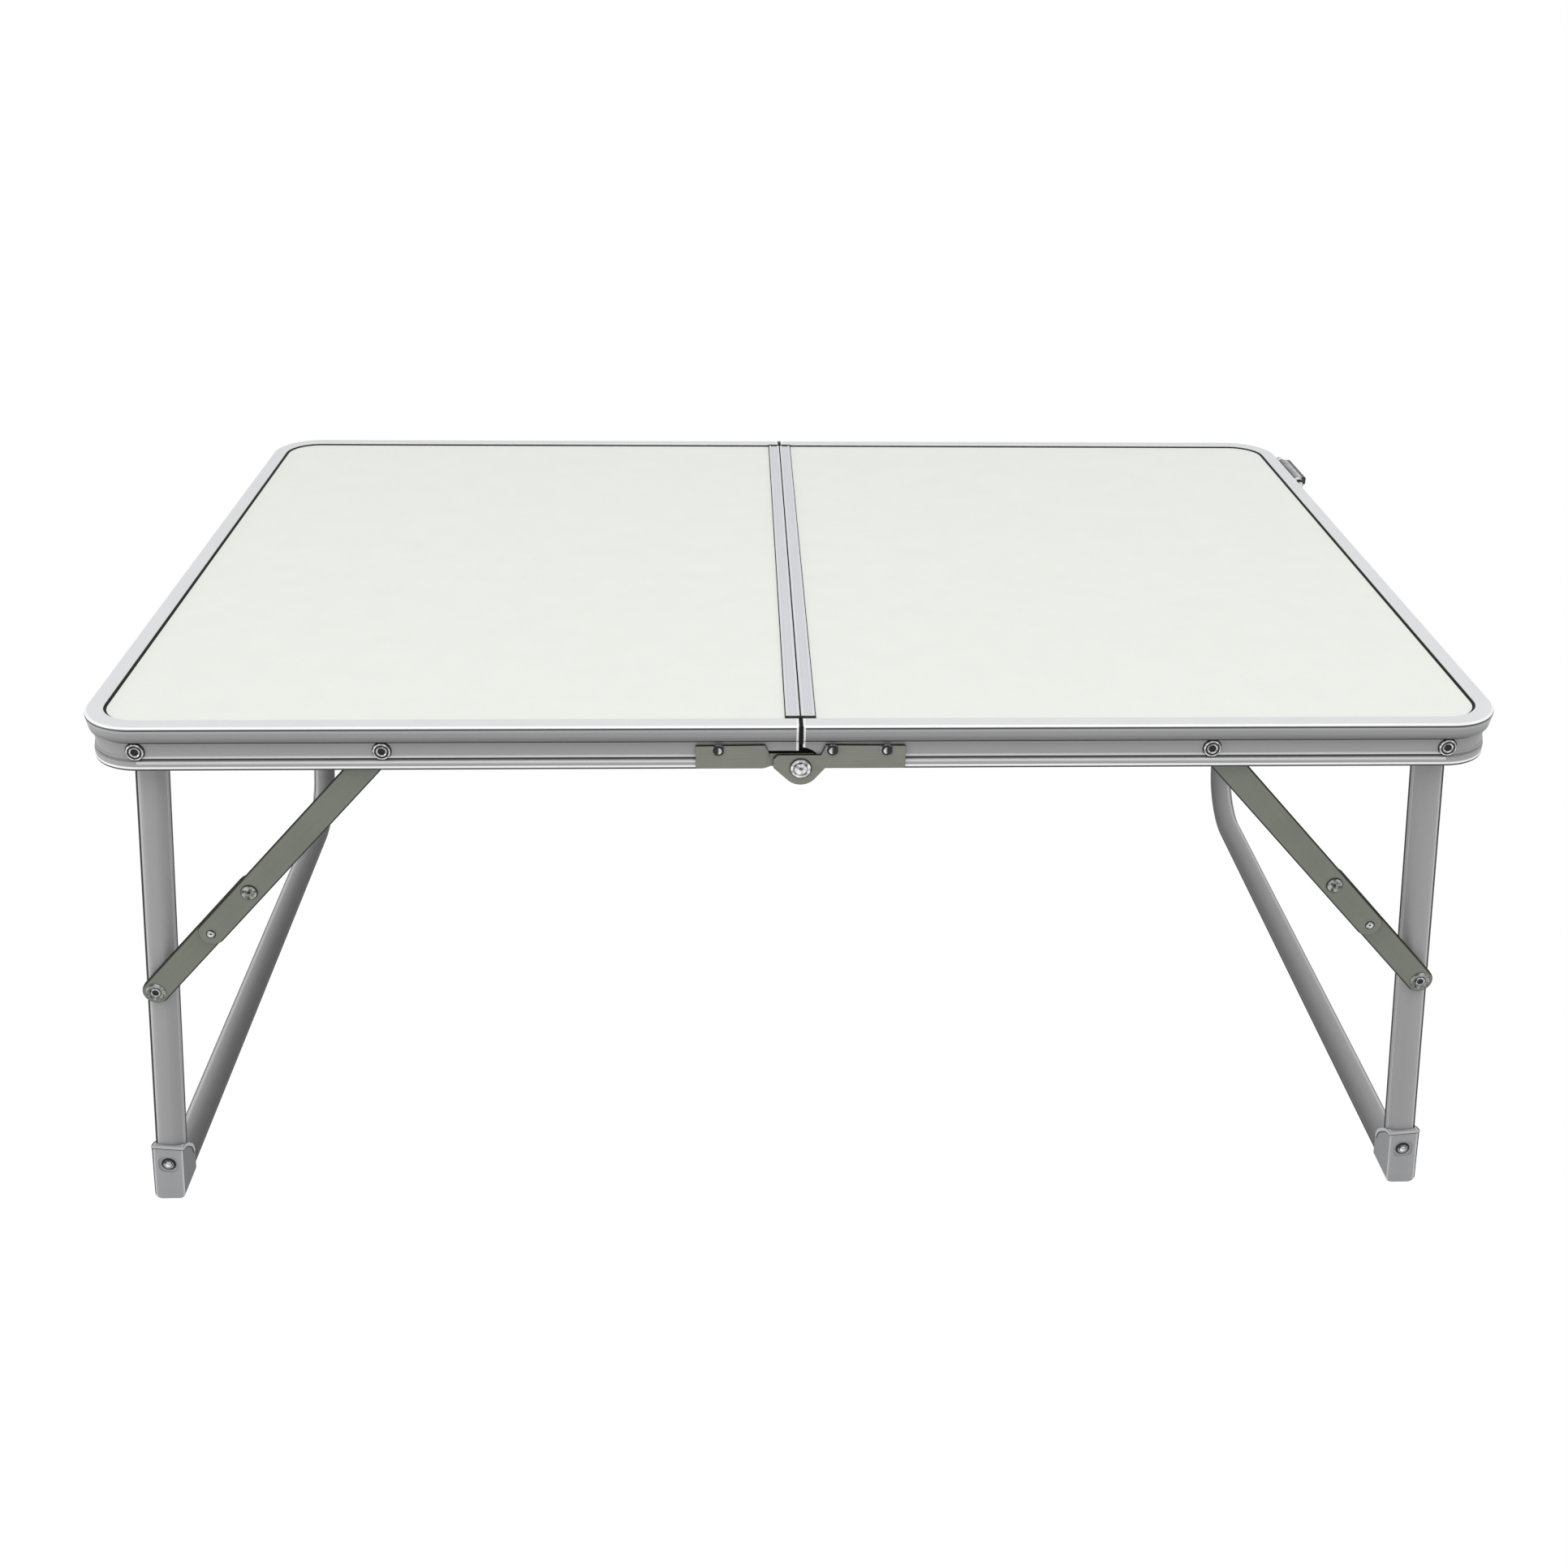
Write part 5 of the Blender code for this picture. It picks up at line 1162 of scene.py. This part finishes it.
# Light and dark bands painted across the lever as chrome reflections and shade; the cloudy patches below are painted
# reflections too.
LATCH_PAINTED_REFLECTIONS = (
    (0, 0.03), (0.9, 0.06), (1.5, 0.3), (3.2, 0.4), (4.4, 0.58), (5, 0.52), (5.3, 0.04), (7.3, 0.03),
    (7.5, 0.28), (7.7, 0.3),
)
MOTTLED = (300, 60, 300)
lever_painted_reflections = ("X", -ROLL_RADIUS, MM, LATCH_PAINTED_REFLECTIONS)
lever_chrome = finish(
    "latch_lever_painted_chrome", (1, 1, 1), 0.25, 0.3, MOTTLED, 0.1, 0.35, 260, 0.05, 0.15, tones=lever_painted_reflections,
    tint=(1, 1.01, 1.03),
)
chromes = [
    finish("latch_chrome", (0.72, 0.73, 0.75), 0.2, 0.4, MOTTLED, 0.1, 0.3, 260, 0.05, 0.15),
    finish("latch_painted_shade_chrome", (0.05, 0.05, 0.055), 0.25, 0.4, MOTTLED, 0.1, 0.3, 260, 0.05),
]
latch_spot = moved(LATCH_FACE + LATCH_OUT, LATCH_PLACE, TOP_HEIGHT - LATCH_DROP)
bracket = put("latch_bracket", latch_bracket(), chromes, latch_spot)
gap_half = LATCH_HALF - LATCH_EYE
gap = box((SKIRT_X + LATCH_SHEET, -gap_half, GAP_LOW), (CUTTER_RUN, gap_half, CUTTER_RUN))
carve(bracket, gap, latch_spot)
# Faces that don't face up, or face outward, take the near-black chrome as painted shade; upward faces stay bright
# chrome.
coat_faces(bracket, lambda normal: normal.z <= HIGHLIGHT_UP or normal.x >= SHADE_OUT)
fix(bracket, "right_half", "chrome", "latch_base")
lever = put("latch_hook_lever", latch_lever(), [lever_chrome], latch_spot)
fix(lever, "latch_lever", "chrome", "latch_lever")
# The pin heads' black ring is painted shade, their polished ends painted highlights.
LATCH_PIN_PROFILE = (
    (17.2, 0, 2), (17.25, 1.2, 2), (17.5, 1.6, 1), (18, 2.1, 1), (18.9, 2.1, 1), (19, 1.2, 0), (20, 1.2, 0),
    (20, 0, 0),
)
pin_head = [(PIN_END - depth, radius, number) for depth, radius, number in LATCH_PIN_PROFILE]
pin_parts = [mirrored(turned(pin_head, 24), 1, -end) for end in (-1, 1)]
rod = [(-PIN_HALF, 0, 0), (-PIN_HALF, PIN_RADIUS, 0), (PIN_HALF, PIN_RADIUS, 0), (PIN_HALF, 0, 0)]
pin_parts.append(turned(rod, 24))
pin = put("latch_pin_rod", joined(*pin_parts), rivet_finishes, latch_spot)
fix(pin, "right_half", "rivet", "latch_pin")
catch_spot = moved(-LATCH_FACE, LATCH_PLACE, TOP_HEIGHT)
catch = put("latch_catch_plate", mirrored(latch_catch(), -1, 1), chromes, catch_spot)
fix(catch, "left_half", "chrome", "latch_catch")

# Studio: a white floor under soft light. Camera and see-through rays meet plain white, mirror rays meet the white
# floor and a pale room, and the floor takes the table's shadow for the light it hands back.

FLOOR_SIZE = 6.0
ROOM_CEILING = 0.92
ROOM_SIDES = 0.80
ROOM_DARK = 0.55
WALL_BLEND = (-0.85, -0.25)
CEILING_BLEND = (0.62, 0.88)
PAPER_GREYS = (0.68, 0.74)


def floor_material():
    """White to the camera and in mirrors, clear from below, and pale paper to all other light."""
    made = bpy.data.materials.new("studio_floor")
    made.use_nodes = True
    tree = made.node_tree
    tree.nodes.clear()
    out = node(tree, "OutputMaterial")
    grain = node(tree, "TexNoise", {"Scale": 40})
    ramp = node(tree, "ValToRGB")
    for stop, grey in zip(ramp.color_ramp.elements, PAPER_GREYS):
        stop.color = (grey, grey, grey, 1)
    paper = node(tree, "BsdfDiffuse")
    glow = node(tree, "Emission")
    path = node(tree, "LightPath")
    seen = node(tree, "Math", operation="ADD", use_clamp=True)
    also = node(tree, "Math", operation="ADD", use_clamp=True)
    mix = node(tree, "MixShader")
    under = node(tree, "MixShader")
    clear = node(tree, "BsdfTransparent")
    geometry = node(tree, "NewGeometry")
    wire(
        tree,
        (grain, 0, ramp, "Fac"), (ramp, "Color", paper, "Color"), (path, "Is Camera Ray", seen, 0),
        (path, "Is Glossy Ray", seen, 1), (seen, 0, also, 0), (path, "Is Transmission Ray", also, 1),
        (also, 0, mix, "Fac"), (paper, 0, mix, 1), (glow, 0, mix, 2), (geometry, "Backfacing", under, "Fac"),
        (mix, 0, under, 1), (clear, 0, under, 2), (under, 0, out, "Surface"),
    )
    return made


def studio_world():
    """Plain white to the camera. To everything else, a bright ceiling, pale walls and a darker wall in front."""
    world = bpy.data.worlds.new("studio")
    bpy.context.scene.world = world
    world.use_nodes = True
    tree = world.node_tree
    coords = node(tree, "TexCoord")
    split = node(tree, "SeparateXYZ")
    walls = {"From Min": WALL_BLEND[0], "From Max": WALL_BLEND[1], "To Min": ROOM_DARK, "To Max": ROOM_SIDES}
    front = node(tree, "MapRange", walls, interpolation_type="SMOOTHSTEP")
    ceiling = {"From Min": CEILING_BLEND[0], "From Max": CEILING_BLEND[1]}
    high = node(tree, "MapRange", ceiling, interpolation_type="SMOOTHSTEP")
    room = node(tree, "Mix", {3: ROOM_CEILING})
    path = node(tree, "LightPath")
    seen = node(tree, "Math", operation="ADD", use_clamp=True)
    shown = node(tree, "Mix", {3: 1.0})
    wire(
        tree,
        (coords, "Generated", split, 0), (split, "Y", front, "Value"), (split, "Z", high, "Value"),
        (high, 0, room, 0), (front, 0, room, 2), (path, "Is Camera Ray", seen, 0),
        (path, "Is Transmission Ray", seen, 1), (seen, 0, shown, 0), (room, 0, shown, 2),
        (shown, 0, tree.nodes["Background"], "Color"),
    )


def soft_light(name, place, size, power, aim):
    data = bpy.data.lights.new(name, "AREA")
    data.shape = "RECTANGLE"
    data.size, data.size_y = size
    data.energy = power
    lamp = linked(name, data)
    lamp.location = place
    lamp.rotation_euler = (Vector(aim) - Vector(place)).to_track_quat("-Z", "Y").to_euler()


floor = linked("studio_floor", bpy.data.meshes.new("studio_floor"))
half_floor = FLOOR_SIZE / 2
corners = [(x * half_floor, y * half_floor, 0) for x, y in ((-1, -1), (1, -1), (1, 1), (-1, 1))]
floor.data.from_pydata(corners, [], [(0, 1, 2, 3)])
floor.data.materials.append(floor_material())
floor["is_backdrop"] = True
studio_world()
soft_light("front_overhead", (0, -0.8, 1.3), (1.6, 0.9), 4, (0, -0.1, 0.25))
soft_light("left_side", (-1.6, -0.7, 0.4), (0.8, 0.8), 5, (-0.2, -0.1, 0.12))
soft_light("right_side", (1.5, -0.5, 0.9), (0.8, 0.8), 2, (0.2, -0.1, 0.12))

# Camera: the view fitted to the photograph, with plain colours and no depth of field. The boxes of the solids and
# of the visible model are gathered last.

CAMERA_PLACE = (-0.02732, -0.87126, 0.58079)
CAMERA_TURN = (1.0874, -0.0149, -0.0379)
CAMERA_LENS = 41.349
CAMERA_SHIFT = -0.0157
camera_data = bpy.data.cameras.new("camera")
camera = linked("camera", camera_data)
camera.location = CAMERA_PLACE
camera.rotation_euler = CAMERA_TURN
camera_data.sensor_width = 36
camera_data.lens = CAMERA_LENS
camera_data.shift_x = CAMERA_SHIFT
bpy.context.scene.camera = camera
bpy.context.scene.view_settings.view_transform = "Standard"

bpy.context.view_layer.update()
new_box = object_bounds()
boxes = {
    "cad": [list(corner) for corner in cad_box],
    "visual": [list(corner) for corner in new_box],
}
